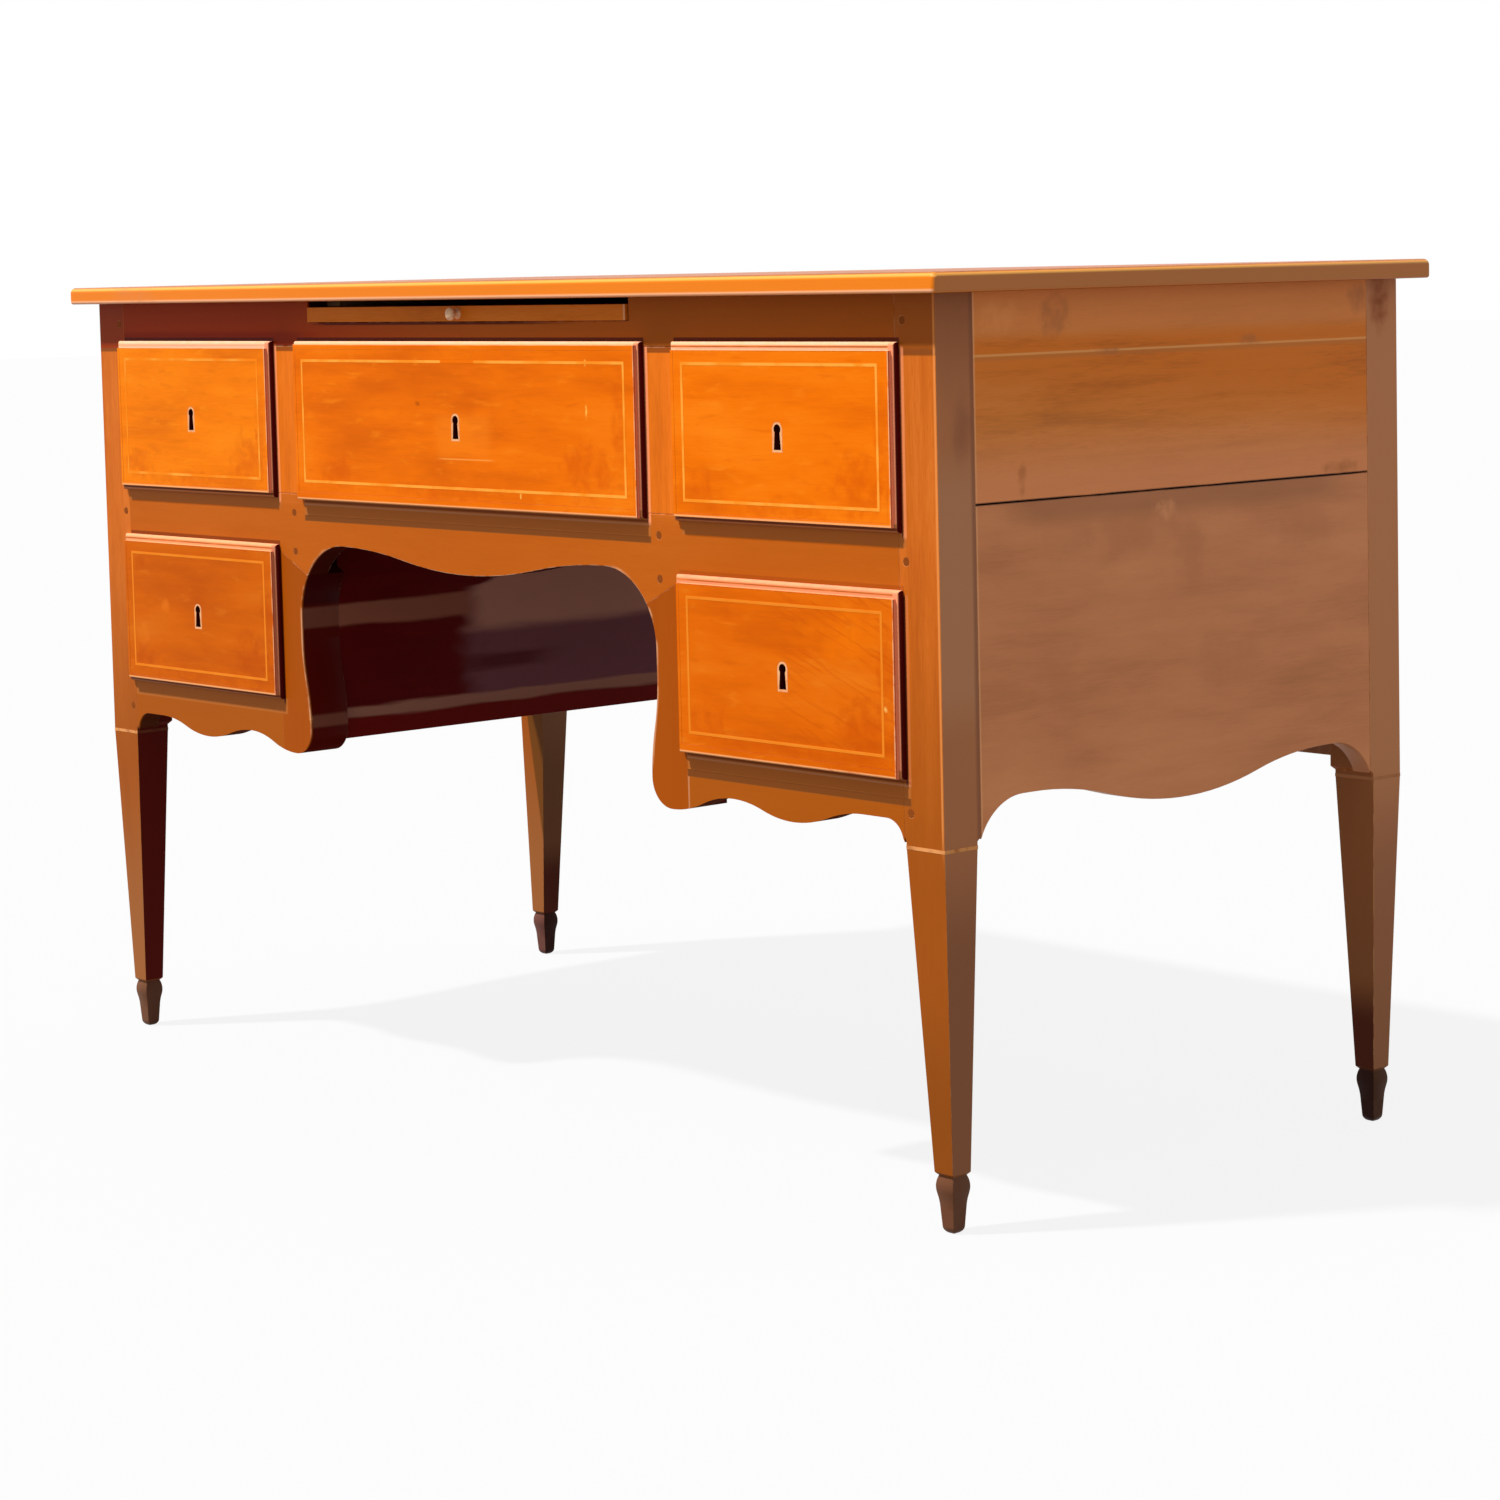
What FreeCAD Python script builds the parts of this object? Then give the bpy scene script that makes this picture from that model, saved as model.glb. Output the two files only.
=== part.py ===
"""Kneehole writing desk with five lipped drawers and a writing slide.

Millimetres, +Z up. The front faces -Y and the origin lies on the floor under the middle of the top.
"""
import FreeCAD, Part
import math
import os
import Sketcher

SIZES = {
    # Top board
    "desk_height": 780,
    "top_width": 1290,
    "top_depth": 620,
    "top_thickness": 17,
    "top_overhang": 22,
    "top_corner_round": 4,
    "top_upper_round": 5,
    "top_lower_round": 2.5,
    # Legs: square post, taper below the band, square vase foot
    "leg_width": 46,
    "leg_depth": 42,
    "band_height": 316,
    "shoulder_rise": 5,
    "shoulder_bevel": 3.5,
    "shoulder_step_across": 2,
    "shoulder_step_deep": 4.5,
    "taper_across": 7,
    "taper_deep": 9,
    "back_taper_deep": 11.5,
    "ankle_size": 21,
    "ankle_bevel": 2,
    "foot_height": 48,
    "neck_size": 16,
    "bulb_radius": 23.2,
    "bulb_low_size": 18.8,
    "bulb_low_height": 33,
    "waist_size": 15.2,
    "waist_height": 20,
    "hollow_radius": 66,
    "toe_size": 13.2,
    "toe_rise": 5.5,
    "tip_size": 6.8,
    "tip_round": 6.4,
    # Front frame
    "rail_thickness": 24,
    "top_rail_height": 43,
    "opening_height": 144.5,
    "cross_rail_height": 55,
    "centre_opening_width": 516,
    "stile_width": 50,
    "stile_depth": 44,
    "tenon_thickness": 8,
    "tenon_length": 25,
    "tenon_shoulder": 6,
    "stile_tenon_length": 28,
    # Arch of the kneehole
    "arch_relief": 12,
    "arch_corner_radius": 70,
    "arch_crest_drop": 48.5,
    "arch_dip_drop": 67,
    # Shaped foot of the knee stile and lower edge of the bottom rail
    "stile_drop": 57,
    "swell_height": 113,
    "swell_reach": 10,
    "toe_radius": 26,
    "inner_crest_reach": 58,
    "inner_crest_drop": 40.5,
    "rail_dip_drop": 53,
    "outer_crest_drop": 38,
    "rail_flat": 28,
    "rail_corner_radius": 20,
    "rail_corner_gap": 21,
    "rail_tip_drop": 56,
    # Side boards
    "side_thickness": 20,
    "side_joint_drop": 171,
    "side_joint_gap": 0.9,
    "side_crest_height": 354,
    "side_dip_height": 329,
    "side_flat": 12,
    "side_corner_radius": 54,
    "side_corner_gap": 49,
    "side_tip_height": 322,
    "tongue_thickness": 8,
    "tongue_length": 8,
    "tongue_shoulder": 6,
    # Inner panels and back
    "inner_thickness": 14,
    "inner_bottom": 330,
    "inner_tongue_thickness": 6,
    "back_panel_thickness": 12,
    "back_panel_inset": 6,
    "back_housing": 8,
    "back_apron_thickness": 20,
    # Drawers
    "drawer_gap": 1,
    "drawer_lift": 0.4,
    "drawer_length": 490,
    "lip_overlap": 4.5,
    "lip_thickness": 5,
    "lip_round": 3.5,
    "field_inset": 7,
    "field_rise": 3,
    "field_round": 1.2,
    "front_thickness": 16,
    "drawer_side_thickness": 10,
    "drawer_side_height": 136,
    "tail_length": 11,
    "tail_end_width": 24,
    "tail_root_width": 18,
    "drawer_back_thickness": 10,
    "drawer_back_inset": 6,
    "drawer_back_housing": 4,
    "drawer_bottom_thickness": 7,
    "drawer_bottom_rise": 10,
    "groove_depth": 5,
    # Locks and keyholes
    "lock_width": 84,
    "lock_drop": 32,
    "lock_rise": 60,
    "lock_thickness": 14,
    "lock_recess": 6,
    "bolt_width": 24,
    "bolt_thickness": 6,
    "key_height": 21.5,
    "key_drop": 2,
    "key_head_width": 8.6,
    "key_neck_width": 6.4,
    "key_foot_width": 8.8,
    "key_depth_in_lock": 8,
    "key_pin_radius": 1.5,
    "liner_wall": 1.9,
    "liner_depth": 8,
    # Runners and guides of the drawers
    "runner_reach": 22,
    "runner_height": 20,
    "guide_height": 25,
    # Writing slide
    "slide_width": 482,
    "slide_depth": 480,
    "slide_thickness": 14,
    "slide_proud": 2,
    "slide_lift": 0.3,
    "slot_depth": 20.5,
    "slot_gap": 2,
    "bearer_reach": 24,
    "bearer_height": 18,
    "keeper_reach": 18,
    "slide_keeper_gap": 0.7,
    "knob_size": 12,
    "knob_thickness": 8,
    "knob_neck_length": 4,
    "knob_stem_size": 5.5,
    "knob_stem_depth": 14,
    # Pegs of the front frame
    "peg_size": 7,
    "peg_edge": 8,
    "low_peg_drop": 32,
    "knee_peg_inset": 19,
    "muntin_peg_drop": 18.5,
    "stile_peg_drop": 56.5,
}
TAILS_PER_SIDE = 4
PEG_SIDES = 8
SIDE_CORNER_TURN = math.radians(60.5)
RAIL_CORNER_TURN = math.radians(76)
LEFT = 1
RIGHT = -1
PLANES = {
    "XY_Plane": FreeCAD.Rotation(),
    "XZ_Plane": FreeCAD.Rotation(FreeCAD.Vector(1, 0, 0), 90),
    "YZ_Plane": FreeCAD.Rotation(FreeCAD.Vector(1, 1, 1), 120),
}
ALONG_X = FreeCAD.Vector(1, 0, 0)
ALONG_Y = FreeCAD.Vector(0, 1, 0)
Z_TO_Y = FreeCAD.Rotation(ALONG_X, -90)

doc = FreeCAD.newDocument("kneehole_desk")
sheet = doc.addObject("Spreadsheet::Sheet", "dims")
for row, (size_name, size_value) in enumerate(SIZES.items(), start=1):
    sheet.set("A%d" % row, size_name)
    sheet.set("B%d" % row, str(size_value))
    sheet.setAlias("B%d" % row, size_name)
doc.recompute()


class Size:
    """A length of the desk: its number, to draw with, and its expression, to bind with."""

    def __init__(self, number, text):
        self.number = number
        self.text = text

    def __add__(self, other):
        other = as_size(other)
        return Size(self.number + other.number, "(%s + %s)" % (self.text, other.text))

    def __radd__(self, other):
        return as_size(other) + self

    def __sub__(self, other):
        other = as_size(other)
        return Size(self.number - other.number, "(%s - %s)" % (self.text, other.text))

    def __rsub__(self, other):
        return as_size(other) - self

    def __mul__(self, other):
        other = as_size(other)
        return Size(self.number * other.number, "(%s * %s)" % (self.text, other.text))

    def __rmul__(self, other):
        return as_size(other) * self

    def __truediv__(self, other):
        other = as_size(other)
        return Size(self.number / other.number, "(%s / %s)" % (self.text, other.text))

    def __neg__(self):
        return Size(-self.number, "(0 - %s)" % self.text)

    def root(self):
        return Size(math.sqrt(self.number), "sqrt(%s)" % self.text)


class Sheet:
    """The sizes of the sheet by name."""

    def __getattr__(self, name):
        return Size(float(SIZES[name]), "dims." + name)


d = Sheet()


def as_size(value):
    """A plain number as a size."""
    if isinstance(value, Size):
        return value
    return Size(float(value), "(%r)" % value)


def bind(item, path, value):
    """Tie one property of an object to the sheet."""
    item.setExpression(path, as_size(value).text)


def place(item, x, y, z, rotation=None):
    """Put an object's own origin at a point of the desk."""
    if rotation is not None:
        item.Placement = FreeCAD.Placement(FreeCAD.Vector(), rotation)
    bind(item, "Placement.Base.x", x)
    bind(item, "Placement.Base.y", y)
    bind(item, "Placement.Base.z", z)


def box(name, x, y, z):
    """A block between a low and a high plane along each axis."""
    item = doc.addObject("Part::Box", name)
    bind(item, "Length", x[1] - x[0])
    bind(item, "Width", y[1] - y[0])
    bind(item, "Height", z[1] - z[0])
    place(item, x[0], y[0], z[0])
    return item


def rod(name, radius, length, x, y, z):
    """A round rod that runs back from a point along +Y."""
    item = doc.addObject("Part::Cylinder", name)
    bind(item, "Radius", radius)
    bind(item, "Height", length)
    place(item, x, y, z, Z_TO_Y)
    return item


def arc_centre(start, end, radius, turn):
    """Centre of the short arc between two points that turns left or right."""
    chord = end - start
    half = chord.Length / 2
    side = FreeCAD.Vector(-chord.y, chord.x, 0) / chord.Length
    rise = math.sqrt(max(radius * radius - half * half, 0.0))
    return (start + end) / 2 + side * (rise * turn)


def outline(sketch, points):
    """Close a sketch through points: (u, v) ends a straight edge, (u, v, radius, turn) ends an arc."""
    spots = [FreeCAD.Vector(as_size(p[0]).number, as_size(p[1]).number, 0) for p in points]
    count = len(points)
    heads = []
    tails = []
    rules = []
    bound = []
    for index in range(count):
        start = spots[index]
        after = (index + 1) % count
        end = spots[after]
        goal = points[after]
        if len(goal) == 2:
            sketch.addGeometry(Part.LineSegment(start, end), False)
            heads.append(1)
            tails.append(2)
            continue
        turn = goal[3]
        centre = arc_centre(start, end, goal[2].number, turn)
        first, last = (start, end) if turn == LEFT else (end, start)
        angles = [math.atan2(q.y - centre.y, q.x - centre.x) for q in (first, last)]
        circle = Part.Circle(centre, FreeCAD.Vector(0, 0, 1), goal[2].number)
        sketch.addGeometry(Part.ArcOfCircle(circle, angles[0], angles[1]), False)
        heads.append(1 if turn == LEFT else 2)
        tails.append(2 if turn == LEFT else 1)
    for index in range(count):
        after = (index + 1) % count
        rules.append(Sketcher.Constraint("Coincident", index, tails[index], after, heads[after]))
    for index in range(count):
        for axis, kind, line in ((0, "DistanceX", -2), (1, "DistanceY", -1)):
            value = as_size(points[index][axis])
            if value.number == 0:
                rules.append(Sketcher.Constraint("PointOnObject", index, heads[index], line))
                continue
            bound.append((len(rules), "%s%d" % (kind, index), value))
            rules.append(Sketcher.Constraint(kind, -1, 1, index, heads[index], value.number))
        if len(points[index]) == 4:
            radius = points[index][2]
            bound.append((len(rules), "Radius%d" % index, radius))
            rules.append(Sketcher.Constraint("Radius", (index - 1) % count, radius.number))
    sketch.addConstraint(rules)
    for number, name, value in bound:
        sketch.renameConstraint(number, name)
        sketch.setExpression("Constraints." + name, value.text)
    return sketch


def board(name, plane, span, points):
    """A board cut to an outline on a plane and as thick as its span along the third axis."""
    sketch = doc.addObject("Sketcher::SketchObject", name + "_outline")
    sketch.Placement = FreeCAD.Placement(FreeCAD.Vector(), PLANES[plane])
    bind(sketch, "Placement.Base." + ("y" if plane == "XZ_Plane" else "x"), span[0])
    outline(sketch, points)
    item = doc.addObject("Part::Extrusion", name)
    item.Base = sketch
    item.DirMode = "Custom"
    item.Dir = ALONG_Y if plane == "XZ_Plane" else ALONG_X
    item.Solid = True
    bind(item, "LengthFwd", span[1] - span[0])
    return item


def join(name, *items):
    """One solid from several."""
    item = doc.addObject("Part::MultiFuse", name)
    item.Shapes = list(items)
    item.Refine = True
    return item


def cut(name, base, *tools):
    """A solid with other solids taken out of it."""
    item = doc.addObject("Part::Cut", name)
    item.Base = base
    item.Tool = tools[0] if len(tools) == 1 else join(name + "_cutters", *tools)
    item.Refine = True
    return item


def group(name, *items):
    """Separate solids that share one name."""
    item = doc.addObject("Part::Compound", name)
    item.Links = list(items)
    return item


def mirror(name, source, normal):
    """The same piece on the other side of the desk."""
    item = doc.addObject("Part::Mirroring", name)
    item.Source = source
    item.Base = FreeCAD.Vector()
    item.Normal = normal
    return item


def body_sketch(body, name, role, points):
    """A sketch on one of a body's own planes."""
    sketch = body.newObject("Sketcher::SketchObject", name)
    plane = [p for p in body.Origin.OriginFeatures if p.Role == role][0]
    sketch.AttachmentSupport = [(plane, "")]
    sketch.MapMode = "FlatFace"
    return outline(sketch, points)


def pad(body, name, sketch, length, reverse=False):
    """Thicken a body's sketch."""
    item = body.newObject("PartDesign::Pad", name)
    item.Profile = sketch
    item.Reversed = reverse
    bind(item, "Length", length)
    doc.recompute()
    return item


def edges_where(shape, test):
    """Names of the edges whose two ends both pass a test."""
    names = []
    for number, edge in enumerate(shape.Edges, start=1):
        if all(test(vertex.Point) for vertex in edge.Vertexes):
            names.append("Edge%d" % number)
    return names


def fillet(body, name, base, edges, radius):
    """Round some edges of a body."""
    item = body.newObject("PartDesign::Fillet", name)
    item.Base = (base, edges)
    bind(item, "Radius", radius)
    doc.recompute()
    return item


def around(middle, width):
    """Low and high ends of a width about its middle."""
    return middle - width / 2, middle + width / 2


def inset(low, high, margin):
    """Low and high ends drawn in by a margin at each end."""
    return low + margin, high - margin


def rectangle(x, z):
    """Corner points of an upright rectangle, counter-clockwise."""
    return [(x[0], z[0]), (x[1], z[0]), (x[1], z[1]), (x[0], z[1])]


def ogee_radius(run, rise):
    """Radius of the two equal arcs that join two level crests."""
    return (run * run + rise * rise) / (rise * 4)


# Main planes of the desk
half_width = d.top_width / 2 - d.top_overhang
half_depth = d.top_depth / 2 - d.top_overhang
under_top = d.desk_height - d.top_thickness
front = -half_depth
rail_back = front + d.rail_thickness
leg_back = front + d.leg_depth
stile_back = front + d.stile_depth
post = half_width - d.leg_width
knee = d.centre_opening_width / 2
stile = knee + d.stile_width
upper_top = under_top - d.top_rail_height
upper_floor = upper_top - d.opening_height
lower_top = upper_floor - d.cross_rail_height
lower_floor = lower_top - d.opening_height
tenon_y = around(front + d.rail_thickness / 2, d.tenon_thickness)
nodes = []

# Top board: a rectangle with eased corners, a rounded upper arris and a softer lower one
top_body = doc.addObject("PartDesign::Body", "desk_top")
top_x = (-d.top_width / 2, d.top_width / 2)
top_y = (-d.top_depth / 2, d.top_depth / 2)
top_pad = pad(top_body, "top_board", body_sketch(top_body, "top_plan", "XY_Plane", rectangle(top_x, top_y)),
              d.top_thickness)
upright = []
for edge_number, top_edge in enumerate(top_pad.Shape.Edges, start=1):
    if abs(top_edge.tangentAt(top_edge.FirstParameter).z) > 0.9:
        upright.append("Edge%d" % edge_number)
top_corners = fillet(top_body, "top_corners", top_pad, upright, d.top_corner_round)
upper_edges = edges_where(top_corners.Shape, lambda q: q.z > SIZES["top_thickness"] - 0.01)
top_upper = fillet(top_body, "top_upper_arris", top_corners, upper_edges, d.top_upper_round)
lower_edges = edges_where(top_upper.Shape, lambda q: q.z < 0.01)
fillet(top_body, "top_lower_arris", top_upper, lower_edges, d.top_lower_round)
bind(top_body, "Placement.Base.z", under_top)
nodes.append(top_body)

# Tenons of the front rails, cut from the legs as well as joined to the rails
leg_tenon_x = (post, post + d.tenon_length)
top_tenon = box("top_tenon", leg_tenon_x, tenon_y, inset(upper_top, under_top, d.tenon_shoulder))
cross_tenon = box("cross_tenon", leg_tenon_x, tenon_y, inset(lower_top, upper_floor, d.tenon_shoulder))
low_tenon_z = inset(lower_floor - d.outer_crest_drop, lower_floor, d.tenon_shoulder)
bottom_tenon = box("bottom_tenon", leg_tenon_x, tenon_y, low_tenon_z)

# Pegs: riven eight-sided pins driven from the front through the rail and its tenon
peg_spots = (
    (post + d.peg_edge, (upper_top + under_top) / 2),
    (post + d.peg_edge, (lower_top + upper_floor) / 2),
    (post + d.peg_edge, lower_floor - d.low_peg_drop),
    (knee + d.knee_peg_inset, upper_floor - d.muntin_peg_drop),
    (knee + d.knee_peg_inset, upper_floor - d.stile_peg_drop),
)
right_pegs = []
for peg_number, (peg_x, peg_z) in enumerate(peg_spots, start=1):
    peg = doc.addObject("Part::Prism", "right_peg_%d" % peg_number)
    peg.Polygon = PEG_SIDES
    bind(peg, "Circumradius", d.peg_size / 2)
    bind(peg, "Height", d.rail_thickness)
    place(peg, peg_x, front, peg_z, Z_TO_Y)
    right_pegs.append(peg)
left_pegs = [mirror("left_peg_%d" % n, p, ALONG_X) for n, p in enumerate(right_pegs, start=1)]
pegs = group("frame_pegs", *(right_pegs + left_pegs))


# Side boards: an upper and a lower board with a dry joint between them, tongued into the legs
side_x = (half_width - d.side_thickness, half_width)
side_y = (leg_back, -leg_back)
tongue_x = around(half_width - d.side_thickness / 2, d.tongue_thickness)
tongue_front = (leg_back - d.tongue_length, leg_back)
tongue_rear = (-leg_back, -leg_back + d.tongue_length)
side_joint = under_top - d.side_joint_drop
upper_board_z = (side_joint + d.side_joint_gap, under_top)
upper_tongue_z = inset(upper_board_z[0], under_top, d.tongue_shoulder)
lower_tongue_z = inset(d.side_crest_height, side_joint, d.tongue_shoulder)
upper_tongues = [box("upper_tongue_%d" % n, tongue_x, y, upper_tongue_z)
                 for n, y in enumerate((tongue_front, tongue_rear), start=1)]
lower_tongues = [box("lower_tongue_%d" % n, tongue_x, y, lower_tongue_z)
                 for n, y in enumerate((tongue_front, tongue_rear), start=1)]
side_end = -leg_back
side_level = side_end - d.side_corner_gap
side_crest = side_level - d.side_flat
side_tip = (side_level + d.side_corner_radius * math.sin(SIDE_CORNER_TURN),
            d.side_crest_height - d.side_corner_radius * (1 - math.cos(SIDE_CORNER_TURN)))
side_ogee = ogee_radius(side_crest, d.side_crest_height - d.side_dip_height)
side_middle = (d.side_crest_height + d.side_dip_height) / 2
lower_board = board("right_side_lower_shape", "YZ_Plane", side_x, [
    (side_end, side_joint),
    (-side_end, side_joint),
    (-side_end, d.side_tip_height),
    (-side_tip[0], side_tip[1]),
    (-side_level, d.side_crest_height, d.side_corner_radius, RIGHT),
    (-side_crest, d.side_crest_height),
    (-side_crest / 2, side_middle, side_ogee, RIGHT),
    (side_crest / 2, side_middle, side_ogee, LEFT),
    (side_crest, d.side_crest_height, side_ogee, RIGHT),
    (side_level, d.side_crest_height),
    (side_tip[0], side_tip[1], d.side_corner_radius, RIGHT),
    (side_end, d.side_tip_height),
])
right_lower = join("right_side_lower_board", lower_board, *lower_tongues)
right_upper = join("right_side_upper_board", box("right_side_upper_shape", side_x, side_y, upper_board_z),
                   *upper_tongues)
nodes.append(right_upper)
nodes.append(right_lower)
nodes.append(mirror("left_side_upper_board", right_upper, ALONG_X))
nodes.append(mirror("left_side_lower_board", right_lower, ALONG_X))


def leg_points(outer, inner, taper, step, inward):
    """Leg outline: down the outer side, round the foot and up the inner side with its small shoulder."""
    ankle = outer + inward * taper
    axis = ankle + inward * (d.ankle_size / 2)
    shank = inner - inward * step
    ankle_top = d.foot_height + d.ankle_bevel
    shoulder = d.band_height + d.shoulder_rise
    bulge = LEFT * inward
    hollow = RIGHT * inward

    def off(half):
        return axis - inward * half, axis + inward * half

    ankle_side = off(d.ankle_size / 2)
    bevel_side = off(d.ankle_size / 2 - d.ankle_bevel)
    neck_side = off(d.neck_size / 2)
    bulb_side = off(d.bulb_low_size / 2)
    waist_side = off(d.waist_size / 2)
    toe_side = off(d.toe_size / 2)
    tip_side = off(d.tip_size / 2)
    return [
        (outer, under_top),
        (outer, d.band_height),
        (ankle_side[0], ankle_top),
        (bevel_side[0], d.foot_height),
        (neck_side[0], d.foot_height),
        (bulb_side[0], d.bulb_low_height, d.bulb_radius, bulge),
        (waist_side[0], d.waist_height, d.hollow_radius, hollow),
        (toe_side[0], d.toe_rise),
        (tip_side[0], 0, d.tip_round, bulge),
        (tip_side[1], 0),
        (toe_side[1], d.toe_rise, d.tip_round, bulge),
        (waist_side[1], d.waist_height),
        (bulb_side[1], d.bulb_low_height, d.hollow_radius, hollow),
        (neck_side[1], d.foot_height, d.bulb_radius, bulge),
        (bevel_side[1], d.foot_height),
        (ankle_side[1], ankle_top),
        (shank, d.band_height),
        (shank, shoulder),
        (inner, shoulder + d.shoulder_bevel),
        (inner, under_top),
    ]


# Legs: each is sawn to one outline from the front and one from the side; the back ones taper more behind
leg_across = board("leg_across", "XZ_Plane", (front, leg_back),
                   leg_points(half_width, post, d.taper_across, d.shoulder_step_across, -1))
leg_deep = board("leg_deep", "YZ_Plane", (post, half_width),
                 leg_points(front, leg_back, d.taper_deep, d.shoulder_step_deep, 1))
leg_blank = doc.addObject("Part::Common", "leg_blank")
leg_blank.Base = leg_across
leg_blank.Tool = leg_deep
back_deep = board("back_leg_deep", "YZ_Plane", (post, half_width),
                  leg_points(-front, -leg_back, d.back_taper_deep, d.shoulder_step_deep, -1))
back_blank = doc.addObject("Part::Common", "back_leg_blank")
back_blank.Base = mirror("back_leg_across", leg_across, ALONG_Y)
back_blank.Tool = back_deep
front_right = cut("front_right_leg", leg_blank, top_tenon, cross_tenon, bottom_tenon,
                  upper_tongues[0], lower_tongues[0], *right_pegs[:3])

# Back panels: plain boards housed in the back legs and back stiles
back_y = (-front - d.back_panel_inset - d.back_panel_thickness, -front - d.back_panel_inset)
back_panel = box("right_back_panel", (stile - d.back_housing, post + d.back_housing), back_y,
                 (d.inner_bottom, under_top))
back_right = cut("back_right_leg", back_blank, upper_tongues[1], lower_tongues[1], back_panel)
nodes.append(front_right)
nodes.append(back_right)
nodes.append(mirror("front_left_leg", front_right, ALONG_X))
nodes.append(mirror("back_left_leg", back_right, ALONG_X))
nodes.append(back_panel)
nodes.append(mirror("left_back_panel", back_panel, ALONG_X))

# Muntins and knee stiles share the width beside the kneehole; their tenons enter the rails
stile_tenon_x = inset(knee, stile, d.tenon_shoulder)
muntin_tenon_low = box("muntin_tenon_low", stile_tenon_x, tenon_y,
                       (upper_floor - d.stile_tenon_length, upper_floor))
muntin_tenon_high = box("muntin_tenon_high", stile_tenon_x, tenon_y,
                        (upper_top, upper_top + d.tenon_shoulder * 2))
muntin_block = box("muntin_block", (knee, stile), (front, stile_back), (upper_floor, upper_top))

# Inner panels of the kneehole, tongued into the stiles and muntins in front and the back stiles behind
arch_edge = knee + d.arch_relief
inner_x = (arch_edge, arch_edge + d.inner_thickness)
back_stile_y = (-rail_back, -front)
inner_tongue_x = around(arch_edge + d.inner_thickness / 2, d.inner_tongue_thickness)
inner_front_y = (stile_back - d.tongue_length, stile_back)
arch_spring = upper_floor - d.arch_crest_drop - d.arch_corner_radius
muntin_tongue = box("muntin_tongue", inner_tongue_x, inner_front_y,
                    inset(upper_floor, upper_top, d.tongue_shoulder))
stile_tongue = box("stile_tongue", inner_tongue_x, inner_front_y,
                   inset(d.inner_bottom, arch_spring, d.tongue_shoulder))
rear_tongue = box("rear_tongue", inner_tongue_x, (-rail_back, -rail_back + d.tongue_length),
                  inset(d.inner_bottom, under_top, d.tongue_shoulder))
inner_board = box("inner_board", inner_x, (stile_back, -rail_back), (d.inner_bottom, under_top))
right_inner = join("right_inner_panel", inner_board, muntin_tongue, stile_tongue, rear_tongue)
nodes.append(right_inner)
nodes.append(mirror("left_inner_panel", right_inner, ALONG_X))
right_muntin = cut("right_muntin", join("muntin_shape", muntin_block, muntin_tenon_low, muntin_tenon_high),
                   muntin_tongue, right_pegs[3])
nodes.append(right_muntin)
nodes.append(mirror("left_muntin", right_muntin, ALONG_X))

# Knee stile: the arch's corner runs down its inner edge to a swelling toe and on into the bottom rail
crest_x = arch_edge - d.arch_corner_radius
crest_z = upper_floor - d.arch_crest_drop
dip_z = upper_floor - d.arch_dip_drop
arch_join = arch_spring + (d.arch_relief * (d.arch_corner_radius * 2 - d.arch_relief)).root()
arch_middle = (crest_z + dip_z) / 2
arch_ogee = ogee_radius(crest_x, crest_z - dip_z)
stile_bottom = lower_floor - d.stile_drop
swell_top = stile_bottom + d.swell_height
swell_low = stile_bottom + d.toe_radius
swell_x = arch_edge - d.swell_reach
swell_radius = ogee_radius(swell_top - swell_low, d.swell_reach)
toe_x = swell_x + d.toe_radius
inner_crest_x = stile + d.inner_crest_reach
inner_crest_z = lower_floor - d.inner_crest_drop
inner_run = inner_crest_x - toe_x
inner_ogee = ogee_radius(inner_run, inner_crest_z - stile_bottom)
joint_run = stile - toe_x
joint_z = stile_bottom + inner_ogee - (inner_ogee * inner_ogee - joint_run * joint_run).root()
stile_shape = board("stile_shape", "XZ_Plane", (front, stile_back), [
    (stile, lower_top),
    (knee, arch_join),
    (arch_edge, arch_spring, d.arch_corner_radius, RIGHT),
    (arch_edge, swell_top),
    (arch_edge - d.swell_reach / 2, (swell_top + swell_low) / 2, swell_radius, RIGHT),
    (swell_x, swell_low, swell_radius, LEFT),
    (toe_x, stile_bottom, d.toe_radius, LEFT),
    (stile, joint_z, inner_ogee, LEFT),
])
stile_tenon = box("stile_tenon", inset(knee + d.tenon_thickness, stile, d.tenon_shoulder), tenon_y,
                  (arch_join, upper_floor - d.stile_tenon_length - d.tenon_shoulder))
side_tenon_x = (stile - d.tenon_length + d.tenon_thickness, stile)
stile_side_tenon = box("stile_side_tenon", side_tenon_x, tenon_y, low_tenon_z)
right_stile = cut("right_knee_stile", join("stile_blank", stile_shape, stile_tenon),
                  stile_tongue, stile_side_tenon, right_pegs[4])
nodes.append(right_stile)
nodes.append(mirror("left_knee_stile", right_stile, ALONG_X))

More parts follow.
